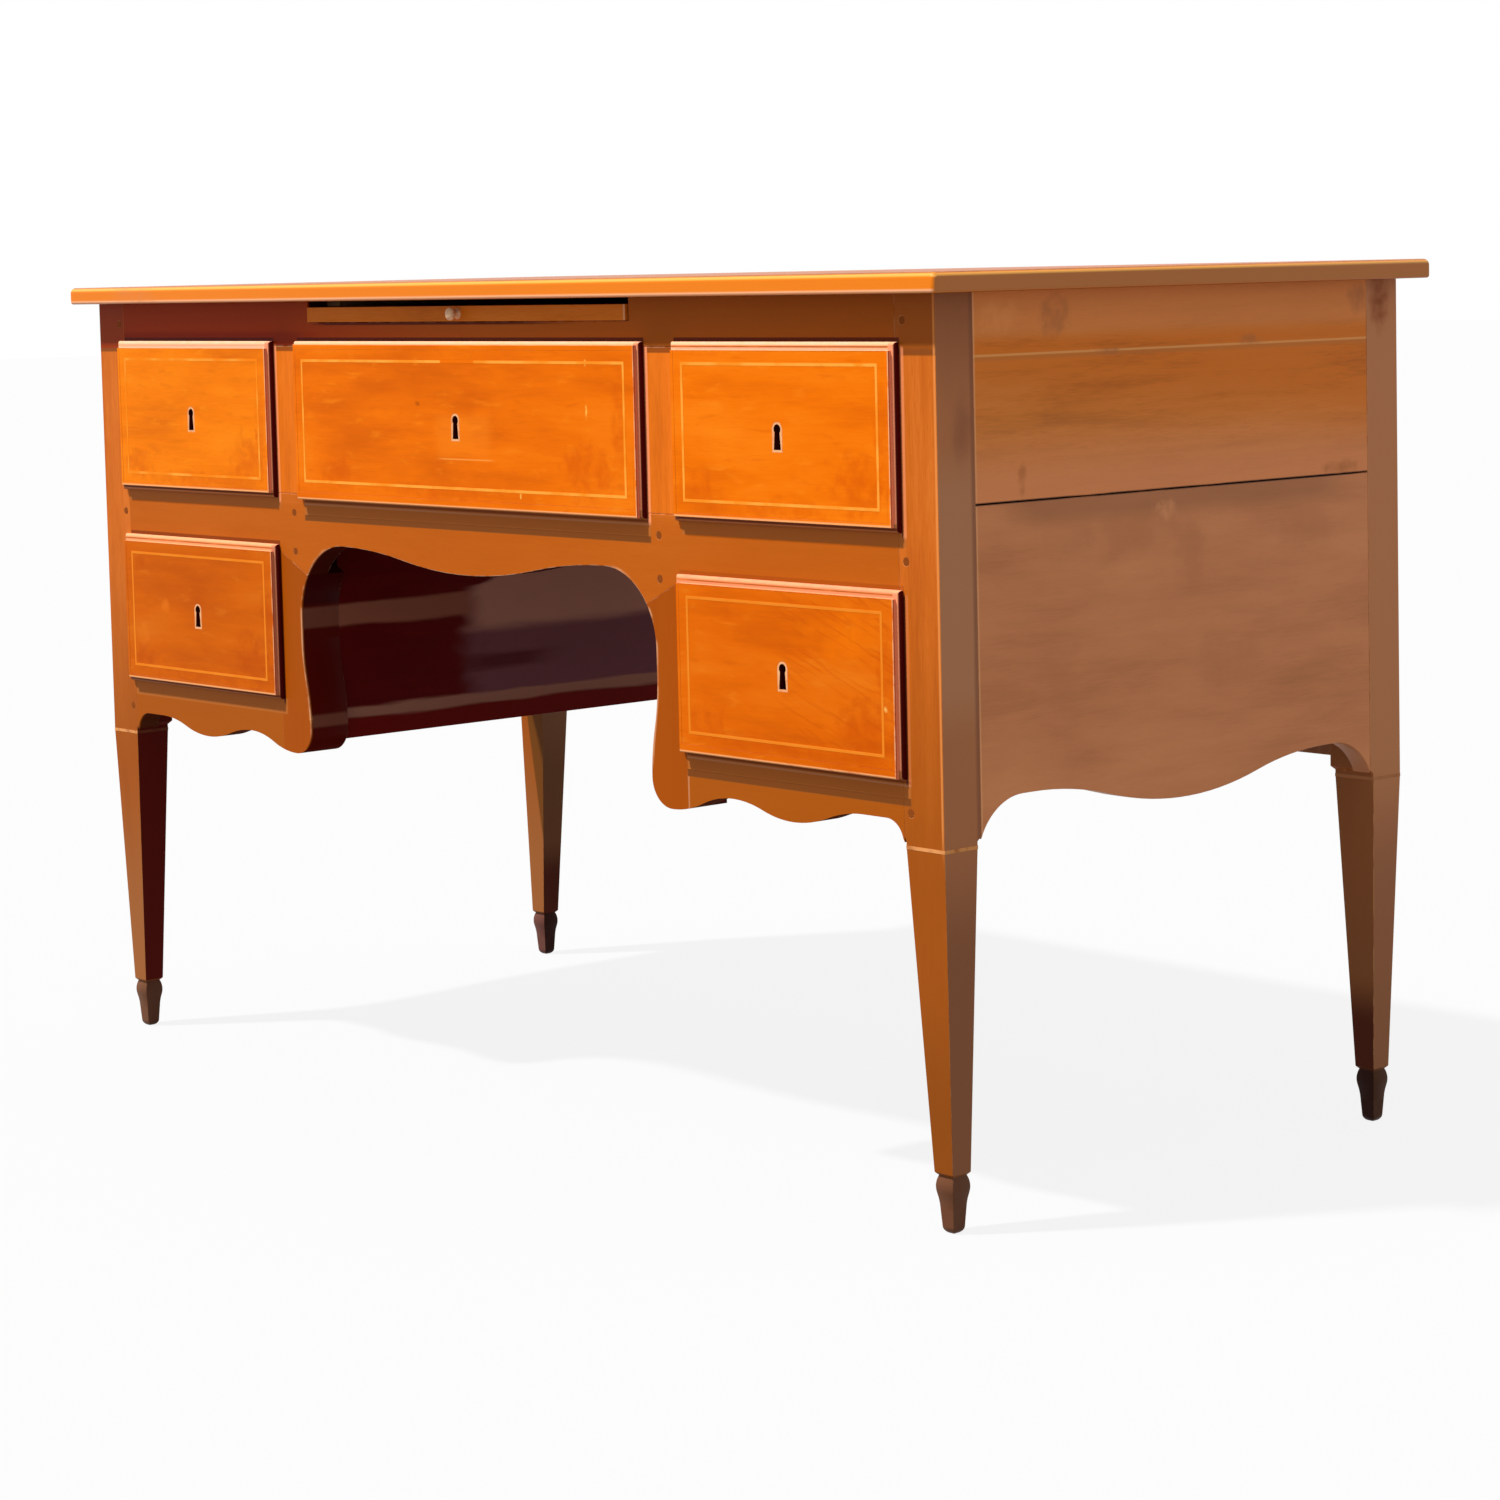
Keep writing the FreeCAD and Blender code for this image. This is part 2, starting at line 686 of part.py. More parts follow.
# Bottom rail: two crests with a dip under the middle of the drawer and a hollow corner at the leg
pedestal_middle = (stile + post) / 2
rail_dip_z = lower_floor - d.rail_dip_drop
outer_crest_z = lower_floor - d.outer_crest_drop
rail_level = post - d.rail_corner_gap
outer_crest_x = rail_level - d.rail_flat
inner_dip_ogee = ogee_radius(pedestal_middle - inner_crest_x, inner_crest_z - rail_dip_z)
outer_dip_ogee = ogee_radius(outer_crest_x - pedestal_middle, outer_crest_z - rail_dip_z)
bottom_shape = board("bottom_rail_shape", "XZ_Plane", (front, rail_back), [
    (post, lower_floor),
    (stile, lower_floor),
    (stile, joint_z),
    ((toe_x + inner_crest_x) / 2, (stile_bottom + inner_crest_z) / 2, inner_ogee, LEFT),
    (inner_crest_x, inner_crest_z, inner_ogee, RIGHT),
    ((inner_crest_x + pedestal_middle) / 2, (inner_crest_z + rail_dip_z) / 2, inner_dip_ogee, RIGHT),
    (pedestal_middle, rail_dip_z, inner_dip_ogee, LEFT),
    ((pedestal_middle + outer_crest_x) / 2, (rail_dip_z + outer_crest_z) / 2, outer_dip_ogee, LEFT),
    (outer_crest_x, outer_crest_z, outer_dip_ogee, RIGHT),
    (rail_level, outer_crest_z),
    (rail_level + d.rail_corner_radius * math.sin(RAIL_CORNER_TURN),
     outer_crest_z - d.rail_corner_radius * (1 - math.cos(RAIL_CORNER_TURN)), d.rail_corner_radius, RIGHT),
    (post, lower_floor - d.rail_tip_drop),
])
bottom_blank = join("bottom_rail_blank", bottom_shape, bottom_tenon, stile_side_tenon)
right_bottom = cut("right_bottom_rail", bottom_blank, right_pegs[2])
nodes.append(right_bottom)
nodes.append(mirror("left_bottom_rail", right_bottom, ALONG_X))

# Cross rail: straight over the lower drawers, arched with a small drop in the middle over the kneehole
arch_points = [
    (-knee, arch_join),
    (-crest_x, crest_z, d.arch_corner_radius, RIGHT),
    (-crest_x / 2, arch_middle, arch_ogee, RIGHT),
    (crest_x / 2, arch_middle, arch_ogee, LEFT),
    (crest_x, crest_z, arch_ogee, RIGHT),
    (knee, arch_join, d.arch_corner_radius, RIGHT),
]
cross_shape = board("cross_rail_shape", "XZ_Plane", (front, rail_back), [
    (post, upper_floor),
    (-post, upper_floor),
    (-post, lower_top),
    (-stile, lower_top),
] + arch_points + [
    (stile, lower_top),
    (post, lower_top),
])
cross_tools = [muntin_tenon_low, stile_tenon]
cross_tools += [mirror(tool.Name + "_left", tool, ALONG_X) for tool in cross_tools]
for side_pegs in (right_pegs, left_pegs):
    cross_tools += [side_pegs[1], side_pegs[3], side_pegs[4]]
cross_tenon_left = mirror("cross_tenon_left", cross_tenon, ALONG_X)
cross_blank = join("cross_rail_blank", cross_shape, cross_tenon, cross_tenon_left)
nodes.append(cut("front_cross_rail", cross_blank, *cross_tools))

# Top rail: a shallow slot in its upper edge lets the writing slide through
slide_half = d.slide_width / 2
slot_floor = under_top - d.slot_depth
slot = box("slide_slot", (-slide_half - d.slot_gap, slide_half + d.slot_gap), (front, rail_back),
           (slot_floor, under_top))
top_rail_board = box("top_rail_board", (-post, post), (front, rail_back), (upper_top, under_top))
top_tenon_left = mirror("top_tenon_left", top_tenon, ALONG_X)
top_rail_blank = join("top_rail_blank", top_rail_board, top_tenon, top_tenon_left)
nodes.append(cut("front_top_rail", top_rail_blank, slot, muntin_tenon_high,
                 mirror("muntin_tenon_high_left", muntin_tenon_high, ALONG_X), right_pegs[0], left_pegs[0]))

# Back stiles and the arched apron between them close the back on each side of the open kneehole
apron_tenon_y = around(-front - d.back_apron_thickness / 2, d.tenon_thickness)
apron_tenon = box("apron_tenon", (knee, knee + d.tenon_length / 2), apron_tenon_y,
                  (upper_floor - d.tenon_shoulder, under_top - d.tenon_shoulder))
apron_shape = board("back_apron_shape", "XZ_Plane", (-front - d.back_apron_thickness, -front), [
    (knee, under_top),
    (-knee, under_top),
] + arch_points)
apron_tenon_left = mirror("apron_tenon_left", apron_tenon, ALONG_X)
back_apron = join("back_knee_apron", apron_shape, apron_tenon, apron_tenon_left)
back_stile_board = box("back_stile_board", (knee, stile), back_stile_y, (d.inner_bottom, under_top))
back_stile = cut("right_back_stile", back_stile_board, rear_tongue, back_panel, apron_tenon)
nodes.append(back_apron)
nodes.append(back_stile)
nodes.append(mirror("left_back_stile", back_stile, ALONG_X))
nodes.append(pegs)

# Runners carry the drawers level with the rails and guides keep them straight
wall_outer = half_width - d.side_thickness
wall_inner = inner_x[1]
runner_boxes = []
guide_boxes = []
for level, floor, inner_start in (("lower", lower_floor, stile_back), ("upper", upper_floor, rail_back)):
    runner_z = (floor - d.runner_height, floor)
    guide_z = (floor, floor + d.guide_height)
    runner_boxes.append(box(level + "_outer_runner", (post - d.runner_reach, wall_outer), side_y, runner_z))
    runner_boxes.append(box(level + "_inner_runner", (wall_inner, stile + d.runner_reach),
                            (inner_start, -rail_back), runner_z))
    guide_boxes.append(box(level + "_outer_guide", (post, wall_outer), side_y, guide_z))
    guide_boxes.append(box(level + "_inner_guide", (wall_inner, stile), (stile_back, -rail_back), guide_z))
runner_boxes.append(box("centre_runner", (knee - d.runner_reach, arch_edge), (rail_back, -rail_back),
                        (upper_floor - d.runner_height, upper_floor)))
guide_boxes.append(box("centre_guide", (knee, arch_edge), (stile_back, -rail_back),
                       (upper_floor, upper_floor + d.guide_height)))
left_runners = [mirror(item.Name + "_left", item, ALONG_X) for item in runner_boxes]
left_guides = [mirror(item.Name + "_left", item, ALONG_X) for item in guide_boxes]
nodes.append(group("drawer_runners", *(runner_boxes + left_runners)))
nodes.append(group("drawer_guides", *(guide_boxes + left_guides)))

# Bearers, side guides and keepers hold the writing slide flat under the top
guide_face = slide_half + d.slot_gap / 2
keeper_low = slot_floor + d.slide_lift + d.slide_thickness + d.slide_keeper_gap
slide_run = (rail_back, -rail_back)
slide_boxes = [
    box("slide_bearer", (slide_half - d.bearer_reach, arch_edge), slide_run,
        (slot_floor - d.bearer_height, slot_floor)),
    box("slide_side_guide", (guide_face, arch_edge), slide_run, (slot_floor, under_top)),
    box("slide_keeper", (slide_half - d.keeper_reach, guide_face), slide_run, (keeper_low, under_top)),
]
left_slide_boxes = [mirror(item.Name + "_left", item, ALONG_X) for item in slide_boxes]
nodes.append(group("slide_guides", *(slide_boxes + left_slide_boxes)))

# Writing slide: a plain board with a small turned knob in its front edge
slide_front = front - d.slide_proud
slide_z = (slot_floor + d.slide_lift, slot_floor + d.slide_lift + d.slide_thickness)
knob_z = (slide_z[0] + slide_z[1]) / 2
stem = rod("knob_stem", d.knob_stem_size / 2, d.knob_stem_depth + d.knob_neck_length + d.knob_thickness / 2,
           0, slide_front - d.knob_neck_length - d.knob_thickness / 2, knob_z)
head = doc.addObject("Part::Ellipsoid", "knob_head")
bind(head, "Radius1", d.knob_thickness / 2)
bind(head, "Radius2", d.knob_size / 2)
bind(head, "Radius3", d.knob_size / 2)
place(head, 0, slide_front - d.knob_neck_length - d.knob_thickness / 2, knob_z, Z_TO_Y)
slide_board = box("slide_board", (-slide_half, slide_half),
                  (slide_front, slide_front + d.slide_depth), slide_z)
nodes.append(cut("writing_slide", slide_board, stem))
nodes.append(join("slide_knob", stem, head))

lip_back = front - d.drawer_lift
field_front = lip_back - d.lip_thickness - d.field_rise
front_back = lip_back + d.front_thickness
drawer_end = lip_back + d.drawer_length


def front_blank(name, x, z):
    """Drawer front before its joints: a rounded lip, a raised field and the part inside the opening."""
    body = doc.addObject("PartDesign::Body", name)
    lip_x = inset(x[0], x[1], -d.lip_overlap)
    lip_z = inset(z[0], z[1], -d.lip_overlap)
    field_x = inset(lip_x[0], lip_x[1], d.field_inset)
    field_z = inset(lip_z[0], lip_z[1], d.field_inset)
    rear_x = inset(x[0], x[1], d.drawer_gap)
    rear_z = (z[0] + d.drawer_lift, z[1] - d.drawer_gap)
    lip_depth = SIZES["lip_thickness"] - 0.01
    field_depth = SIZES["lip_thickness"] + SIZES["field_rise"] - 0.01
    lip_plan = body_sketch(body, name + "_lip_plan", "XZ_Plane", rectangle(lip_x, lip_z))
    lip = pad(body, name + "_lip", lip_plan, d.lip_thickness)
    lip_edges = edges_where(lip.Shape, lambda q: -q.y > lip_depth)
    fillet(body, name + "_lip_round", lip, lip_edges, d.lip_round)
    field_plan = body_sketch(body, name + "_field_plan", "XZ_Plane", rectangle(field_x, field_z))
    field = pad(body, name + "_field", field_plan, d.lip_thickness + d.field_rise)
    field_edges = edges_where(field.Shape, lambda q: -q.y > field_depth)
    fillet(body, name + "_field_round", field, field_edges, d.field_round)
    rear_plan = body_sketch(body, name + "_rear_plan", "XZ_Plane", rectangle(rear_x, rear_z))
    pad(body, name + "_rear", rear_plan, d.front_thickness, True)
    bind(body, "Placement.Base.y", lip_back)
    return body


def key_prism(name, x, z, y):
    """A keyhole: a round head, a neck, and a slot that widens to its foot."""
    head = d.key_head_width / 2
    neck = d.key_neck_width / 2
    foot = d.key_foot_width / 2
    low = z - d.key_height / 2
    head_z = z + d.key_height / 2 - head
    neck_z = head_z - (head * head - neck * neck).root()
    return board(name, "XZ_Plane", y, [
        (x - foot, low),
        (x + foot, low),
        (x + neck, neck_z),
        (x + head, head_z, head, LEFT),
        (x, head_z + head, head, LEFT),
        (x - head, head_z, head, LEFT),
        (x - neck, neck_z, head, LEFT),
    ])


def liner_prism(name, x, z, y):
    """The outside of a keyhole liner: straight sides under a round head."""
    half = d.key_head_width / 2 + d.liner_wall
    low = z - d.key_height / 2 - d.liner_wall
    head_z = z + d.key_height / 2 - d.key_head_width / 2
    return board(name, "XZ_Plane", y, [
        (x - half, low),
        (x + half, low),
        (x + half, head_z),
        (x, head_z + half, half, LEFT),
        (x - half, head_z, half, LEFT),
    ])


def drawer(name, x, z):
    """One drawer: front, dovetailed sides, back, bottom, lock and keyhole liner."""
    middle_x = (x[0] + x[1]) / 2
    middle_z = (z[0] + z[1]) / 2 - d.key_drop
    outer_x = inset(x[0], x[1], d.drawer_gap)
    floor = z[0] + d.drawer_lift
    side_top = floor + d.drawer_side_height
    bottom_z = (floor + d.drawer_bottom_rise, floor + d.drawer_bottom_rise + d.drawer_bottom_thickness)
    wall = d.drawer_side_thickness
    groove = wall - d.groove_depth
    bottom = box(name + "_drawer_bottom", (outer_x[0] + groove, outer_x[1] - groove),
                 (front_back - d.groove_depth, drawer_end), bottom_z)
    housing = wall - d.drawer_back_housing
    back_end = drawer_end - d.drawer_back_inset
    rear = box(name + "_drawer_back", (outer_x[0] + housing, outer_x[1] - housing),
               (back_end - d.drawer_back_thickness, back_end), (bottom_z[1], side_top))
    sides = []
    for tag, side in (("low", (outer_x[0], outer_x[0] + wall)), ("high", (outer_x[1] - wall, outer_x[1]))):
        pieces = [box("%s_%s_side_board" % (name, tag), side, (front_back, drawer_end), (floor, side_top))]
        pitch = d.drawer_side_height / TAILS_PER_SIDE
        for number in range(TAILS_PER_SIDE):
            tail = doc.addObject("Part::Wedge", "%s_%s_tail_%d" % (name, tag, number + 1))
            level = floor + pitch * (number + 0.5)
            end_z = around(level, d.tail_end_width)
            root_z = around(level, d.tail_root_width)
            for prop, value in (("Xmin", side[0]), ("Xmax", side[1]), ("X2min", side[0]), ("X2max", side[1]),
                                ("Ymin", front_back - d.tail_length), ("Ymax", front_back),
                                ("Zmin", end_z[0]), ("Zmax", end_z[1]),
                                ("Z2min", root_z[0]), ("Z2max", root_z[1])):
                bind(tail, prop, value)
            pieces.append(tail)
        blank = join("%s_%s_side_blank" % (name, tag), *pieces)
        sides.append(cut("%s_%s_side" % (name, tag), blank, bottom, rear))
    lock_y = (front_back - d.lock_recess, front_back - d.lock_recess + d.lock_thickness)
    lock_z = (middle_z - d.lock_drop, middle_z + d.lock_rise)
    case = box(name + "_lock_case", around(middle_x, d.lock_width), lock_y, lock_z)
    bolt = box(name + "_lock_bolt", around(middle_x, d.bolt_width),
               (lock_y[0], lock_y[0] + d.bolt_thickness), (lock_z[1], z[1] - d.drawer_gap))
    lock_blank = join(name + "_lock_blank", case, bolt)
    key_y = (field_front, lock_y[0] + d.key_depth_in_lock)
    keyhole = key_prism(name + "_keyhole", middle_x, middle_z, key_y)
    liner_y = (field_front, field_front + d.liner_depth)
    liner = liner_prism(name + "_liner", middle_x, middle_z, liner_y)
    pin = rod(name + "_lock_pin", d.key_pin_radius, d.key_depth_in_lock, middle_x, lock_y[0],
              middle_z + d.key_height / 2 - d.key_head_width / 2)
    lock = join(name + "_drawer_lock", cut(name + "_lock_body", lock_blank, keyhole), pin)
    face = cut(name + "_drawer_front", front_blank(name + "_front_blank", x, z), sides[0], sides[1], bottom,
               lock_blank, keyhole, liner)
    return [face, group(name + "_drawer_sides", *sides), rear, bottom, lock,
            cut(name + "_drawer_escutcheon", liner, keyhole)]


# Drawers: two in each pedestal and a wide one over the kneehole
pedestal_x = (stile, post)
for drawer_level, drawer_z in (("top", (upper_floor, upper_top)), ("lower", (lower_floor, lower_top))):
    for piece in drawer("right_" + drawer_level, pedestal_x, drawer_z):
        nodes.append(piece)
        nodes.append(mirror(piece.Name.replace("right_", "left_", 1), piece, ALONG_X))
nodes.extend(drawer("centre", (-knee, knee), (upper_floor, upper_top)))

# Check every object, then write one file for each piece
doc.recompute()
for item in doc.Objects:
    if "Invalid" in item.State or "Error" in item.State:
        raise RuntimeError("%s is not built: %s" % (item.Label, item.State))
for node in nodes:
    node.Label = node.Name
    if node.Shape.isNull() or not node.Shape.isValid():
        raise RuntimeError("%s has no sound shape" % node.Label)
    if not node.Shape.Solids:
        raise RuntimeError("%s has no solid" % node.Label)
os.makedirs("parts", exist_ok=True)
for node in nodes:
    node.Shape.exportStep("parts/%s.step" % node.Label)
print("%d pieces written" % len(nodes))
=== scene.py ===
import math

import bpy
import numpy as np
from mathutils import Matrix, Vector


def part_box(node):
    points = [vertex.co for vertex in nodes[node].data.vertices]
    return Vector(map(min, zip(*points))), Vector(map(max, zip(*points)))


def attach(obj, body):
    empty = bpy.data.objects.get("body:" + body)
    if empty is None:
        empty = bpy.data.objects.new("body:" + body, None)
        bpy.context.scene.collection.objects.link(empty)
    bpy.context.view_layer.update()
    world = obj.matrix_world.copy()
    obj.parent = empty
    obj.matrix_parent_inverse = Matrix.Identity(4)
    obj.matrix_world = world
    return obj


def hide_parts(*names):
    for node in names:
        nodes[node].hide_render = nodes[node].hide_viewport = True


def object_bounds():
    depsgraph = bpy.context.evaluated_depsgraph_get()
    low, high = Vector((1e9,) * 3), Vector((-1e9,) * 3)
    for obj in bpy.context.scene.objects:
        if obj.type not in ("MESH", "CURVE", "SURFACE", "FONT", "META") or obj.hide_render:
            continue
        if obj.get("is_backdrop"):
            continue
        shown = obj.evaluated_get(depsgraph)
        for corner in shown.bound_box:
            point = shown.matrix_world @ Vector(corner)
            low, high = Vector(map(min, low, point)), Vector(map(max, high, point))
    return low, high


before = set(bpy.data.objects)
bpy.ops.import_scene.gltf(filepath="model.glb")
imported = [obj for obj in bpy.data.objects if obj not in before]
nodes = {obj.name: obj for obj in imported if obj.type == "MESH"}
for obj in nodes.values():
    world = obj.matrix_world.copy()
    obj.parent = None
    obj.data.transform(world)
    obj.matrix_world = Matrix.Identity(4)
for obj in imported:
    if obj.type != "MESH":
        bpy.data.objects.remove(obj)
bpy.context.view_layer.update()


# Legs
# Four square posts of straight-grained walnut, each sawn from one length with its
# tapered shank and small vase foot; the front feet are worn dark. A painted sheen pales the outer faces, and
# painted shade darkens the inner faces, the lower legs, the back feet and the heads under the top.


class Value:
    """A number that varies over a surface; sums and products of it add Math nodes."""

    def __init__(self, finish, socket):
        self.finish = finish
        self.socket = socket

    def math(self, operation, *others):
        return self.finish.node("ShaderNodeMath", {"operation": operation}, (self,) + others)

    def __add__(self, other):
        return self.math("ADD", other)

    def __sub__(self, other):
        return self.math("SUBTRACT", other)

    def __rsub__(self, other):
        return self.finish.node("ShaderNodeMath", {"operation": "SUBTRACT"}, (other, self))

    def __mul__(self, other):
        return self.math("MULTIPLY", other)

    def __abs__(self):
        return self.math("ABSOLUTE")

    __radd__ = __add__
    __rmul__ = __mul__


EVEN = (1.0, 1.0, 1.0)
UNMOVED = (0.0, 0.0, 0.0)
WANDER = 0.3
BUMP_STRENGTH = 0.5
PATCH_OUTSIDE = 1.2
PATCH_INSIDE = -0.6


class Finish:
    """A material in the making: its colour is laid down in coats, one mask at a time."""

    def __init__(self, name):
        self.material = bpy.data.materials.new(name)
        self.material.use_nodes = True
        self.tree = self.material.node_tree
        self.shader = self.tree.nodes["Principled BSDF"]
        self.place = self.node("ShaderNodeTexCoord", output="Object")
        self.x, self.y, self.z = self.parts(self.place)
        facing = self.node("ShaderNodeNewGeometry", output="True Normal")
        self.facing_x, self.facing_y, self.facing_z = self.parts(facing)
        self.colour = None

    def node(self, kind, settings=None, sockets=(), output=0):
        """Add a node: its settings first, then the values or links of its sockets."""
        made = self.tree.nodes.new(kind)
        for key, value in (settings or {}).items():
            setattr(made, key, value)
        pairs = sockets.items() if isinstance(sockets, dict) else enumerate(sockets)
        for key, value in pairs:
            if isinstance(value, Value):
                self.tree.links.new(value.socket, made.inputs[key])
            else:
                made.inputs[key].default_value = value
        return Value(self, made.outputs[output])

    def parts(self, vector):
        """The three numbers of a vector."""
        split = self.node("ShaderNodeSeparateXYZ", sockets=(vector,))
        return [Value(self, socket) for socket in split.socket.node.outputs]

    def step(self, value, low, high):
        """0 below low and 1 above high, with a soft rise between; low may be the larger."""
        return self.node("ShaderNodeMapRange", {"interpolation_type": "SMOOTHSTEP"},
                         (value, low, high, 0.0, 1.0))

    def spot(self, value, middle, half, soft):
        """1 within half of the middle, falling softly to 0."""
        return self.step(abs(value - middle), half + soft, half)

    def mix(self, first, second, share):
        """A tone between two, by a share; first may be the colour so far."""
        if not isinstance(first, Value):
            first = first + (1.0,)
        return self.node("ShaderNodeMix", {"data_type": "RGBA"}, {0: share, 6: first, 7: second + (1.0,)}, 2)

    def coat(self, tone, share):
        """Lay a tone over the colour so far, as far as a mask lets it show."""
        self.colour = self.mix(self.colour, tone, share)

    def patch(self, middle, reach, tone, share, grain=0.02, ragged=3.0):
        """Lay a tone in a ragged, fading oval about a point; an axis with no reach is left out."""
        spread = (self.noise(EVEN, grain, detail=4.0) - 0.5) * ragged
        for place, at, size in zip((self.x, self.y, self.z), middle, reach):
            if size:
                away = (place - at) * (1.0 / size)
                spread = away * away + spread
        self.coat(tone, self.step(spread, PATCH_OUTSIDE, PATCH_INSIDE) * share)

    def noise(self, stretch, size, detail=2.0, shift=UNMOVED):
        """Cloudy noise from 0 to 1 whose patches are about size metres, stretched by axis."""
        scale = tuple(1.0 / (size * s) for s in stretch)
        moved = {"Vector": self.place, "Scale": scale, "Location": shift}
        where = self.node("ShaderNodeMapping", sockets=moved)
        cloud = {"Vector": where, "Scale": 1.0, "Detail": detail, "Distortion": WANDER}
        return self.node("ShaderNodeTexNoise", sockets=cloud)

    def close(self, rough, bump=None, height=0.0002, **sockets):
        """Link the colour, roughness and bump; steady values go straight on the shader."""
        self.tree.links.new(self.colour.socket, self.shader.inputs["Base Color"])
        if isinstance(rough, Value):
            self.tree.links.new(rough.socket, self.shader.inputs["Roughness"])
        else:
            self.shader.inputs["Roughness"].default_value = rough
        for key, value in sockets.items():
            self.shader.inputs[key.replace("_", " ")].default_value = value
        if bump is not None:
            relief = {"Strength": BUMP_STRENGTH, "Distance": height, "Height": bump}
            raised = self.node("ShaderNodeBump", sockets=relief)
            self.tree.links.new(raised.socket, self.shader.inputs["Normal"])
        return self.material


ALONG = {"X": (14.0, 1.0, 1.0), "Y": (1.0, 14.0, 1.0), "Z": (1.0, 1.0, 14.0)}
CLOUD_SIZE = 0.045
GROWTH_SIZE = 0.011
FIBRE_SIZE = 0.0014
PORE_SIZE = 0.0011


def wood(name, along, tones, shift, cloudy=0.5, banded=0.45, fibrous=0.3):
    """Wood with its grain along one axis: broad cloud, growth bands, fibre streaks and pores.

    tones are deep, middle and pale. The figure is the weighted sum of the three noises about their
    middle; where it is high the pale tone shows, where it is low the deep one.
    """
    f = Finish(name)
    deep, middle, pale = tones
    run = ALONG[along]
    soft = tuple(math.sqrt(s) for s in run)
    cloud = f.noise(soft, CLOUD_SIZE, detail=3.0, shift=shift)
    bands = f.noise(run, GROWTH_SIZE, detail=3.0, shift=shift)
    f.fibre = f.noise(run, FIBRE_SIZE, detail=2.0, shift=shift)
    pores = f.step(f.noise(run, PORE_SIZE, detail=1.0, shift=shift), 0.62, 0.72)
    f.figure = (cloud - 0.5) * cloudy + (bands - 0.5) * banded + (f.fibre - 0.5) * fibrous
    f.colour = f.mix(middle, pale, f.step(f.figure, -0.05, 0.32))
    f.coat(deep, f.step(f.figure, 0.05, -0.32))
    f.coat(deep, pores * fibrous)
    return f


def arris(f, tone, share):
    """Pale wear along the corners: faces that look neither forward nor squarely aside, broken by noise."""
    lean = abs(f.facing_y)
    corner = f.step(lean, 0.15, 0.35) * f.step(lean, 0.985, 0.93)
    f.coat(tone, corner * f.step(f.noise(EVEN, size=0.012), 0.35, 0.6) * share)


WELD_REACH = 0.00002
ARRIS_ANGLE = math.radians(35.0)


def ease(names, width):
    """Soften the sharp corners of solids: their loose faces are joined, then each arris is rounded."""
    for name in names:
        joined = nodes[name].modifiers.new("joined", "WELD")
        joined.merge_threshold = WELD_REACH
        rounded = nodes[name].modifiers.new("eased", "BEVEL")
        rounded.width = width
        rounded.segments = 2
        rounded.limit_method = "ANGLE"
        rounded.angle_limit = ARRIS_ANGLE


def finish_nodes(names, material):
    """Give solids a finish in place of their plain one."""
    for name in names:
        nodes[name].data.materials.clear()
        nodes[name].data.materials.append(material)


DRAWERS = ["left_top", "left_lower", "centre", "right_top", "right_lower"]
FRAME_FRONT = -0.2880
# Painted shade and light about the drawers: how deep the painted shade band falls below each, how wide the
# painted shadow beside it, how strong the painted shadow over it, how far the real cast shadow reaches, and
# how strong the painted light beside it.
SHADE_DEPTH = dict(zip(DRAWERS, (0.0100, 0.0140, 0.0205, 0.0110, 0.0210)))
SHADE_WIDTH = dict(zip(DRAWERS, (0.0003, 0.0012, 0.0003, 0.0003, 0.0010)))
SHADE_OVER = dict(zip(DRAWERS, (0.85, 0.6, 0.85, 0.85, 0.25)))
SHADE_CAST = 0.0153
SHADE_SOFT = 0.0004
PAINTED_LIGHT_SHARE = dict(zip(DRAWERS, (0.8, 0.0, 0.95, 0.6, 0.25)))
SHADE_TONE = {
    "band": (0.46, 0.135, 0.024), "band past the shadow": (0.17, 0.048, 0.008),
    "dark line": (0.16, 0.022, 0.004), "pale line": (0.62, 0.29, 0.16),
    "over": (0.07, 0.004, 0.002), "lightened": (0.95, 0.31, 0.13), "beside": (0.08, 0.004, 0.002),
}


def on_front(f):
    """1 on the front plane of the frame and 0 behind it."""
    return f.step(f.y, FRAME_FRONT + 0.0015, FRAME_FRONT + 0.0005)


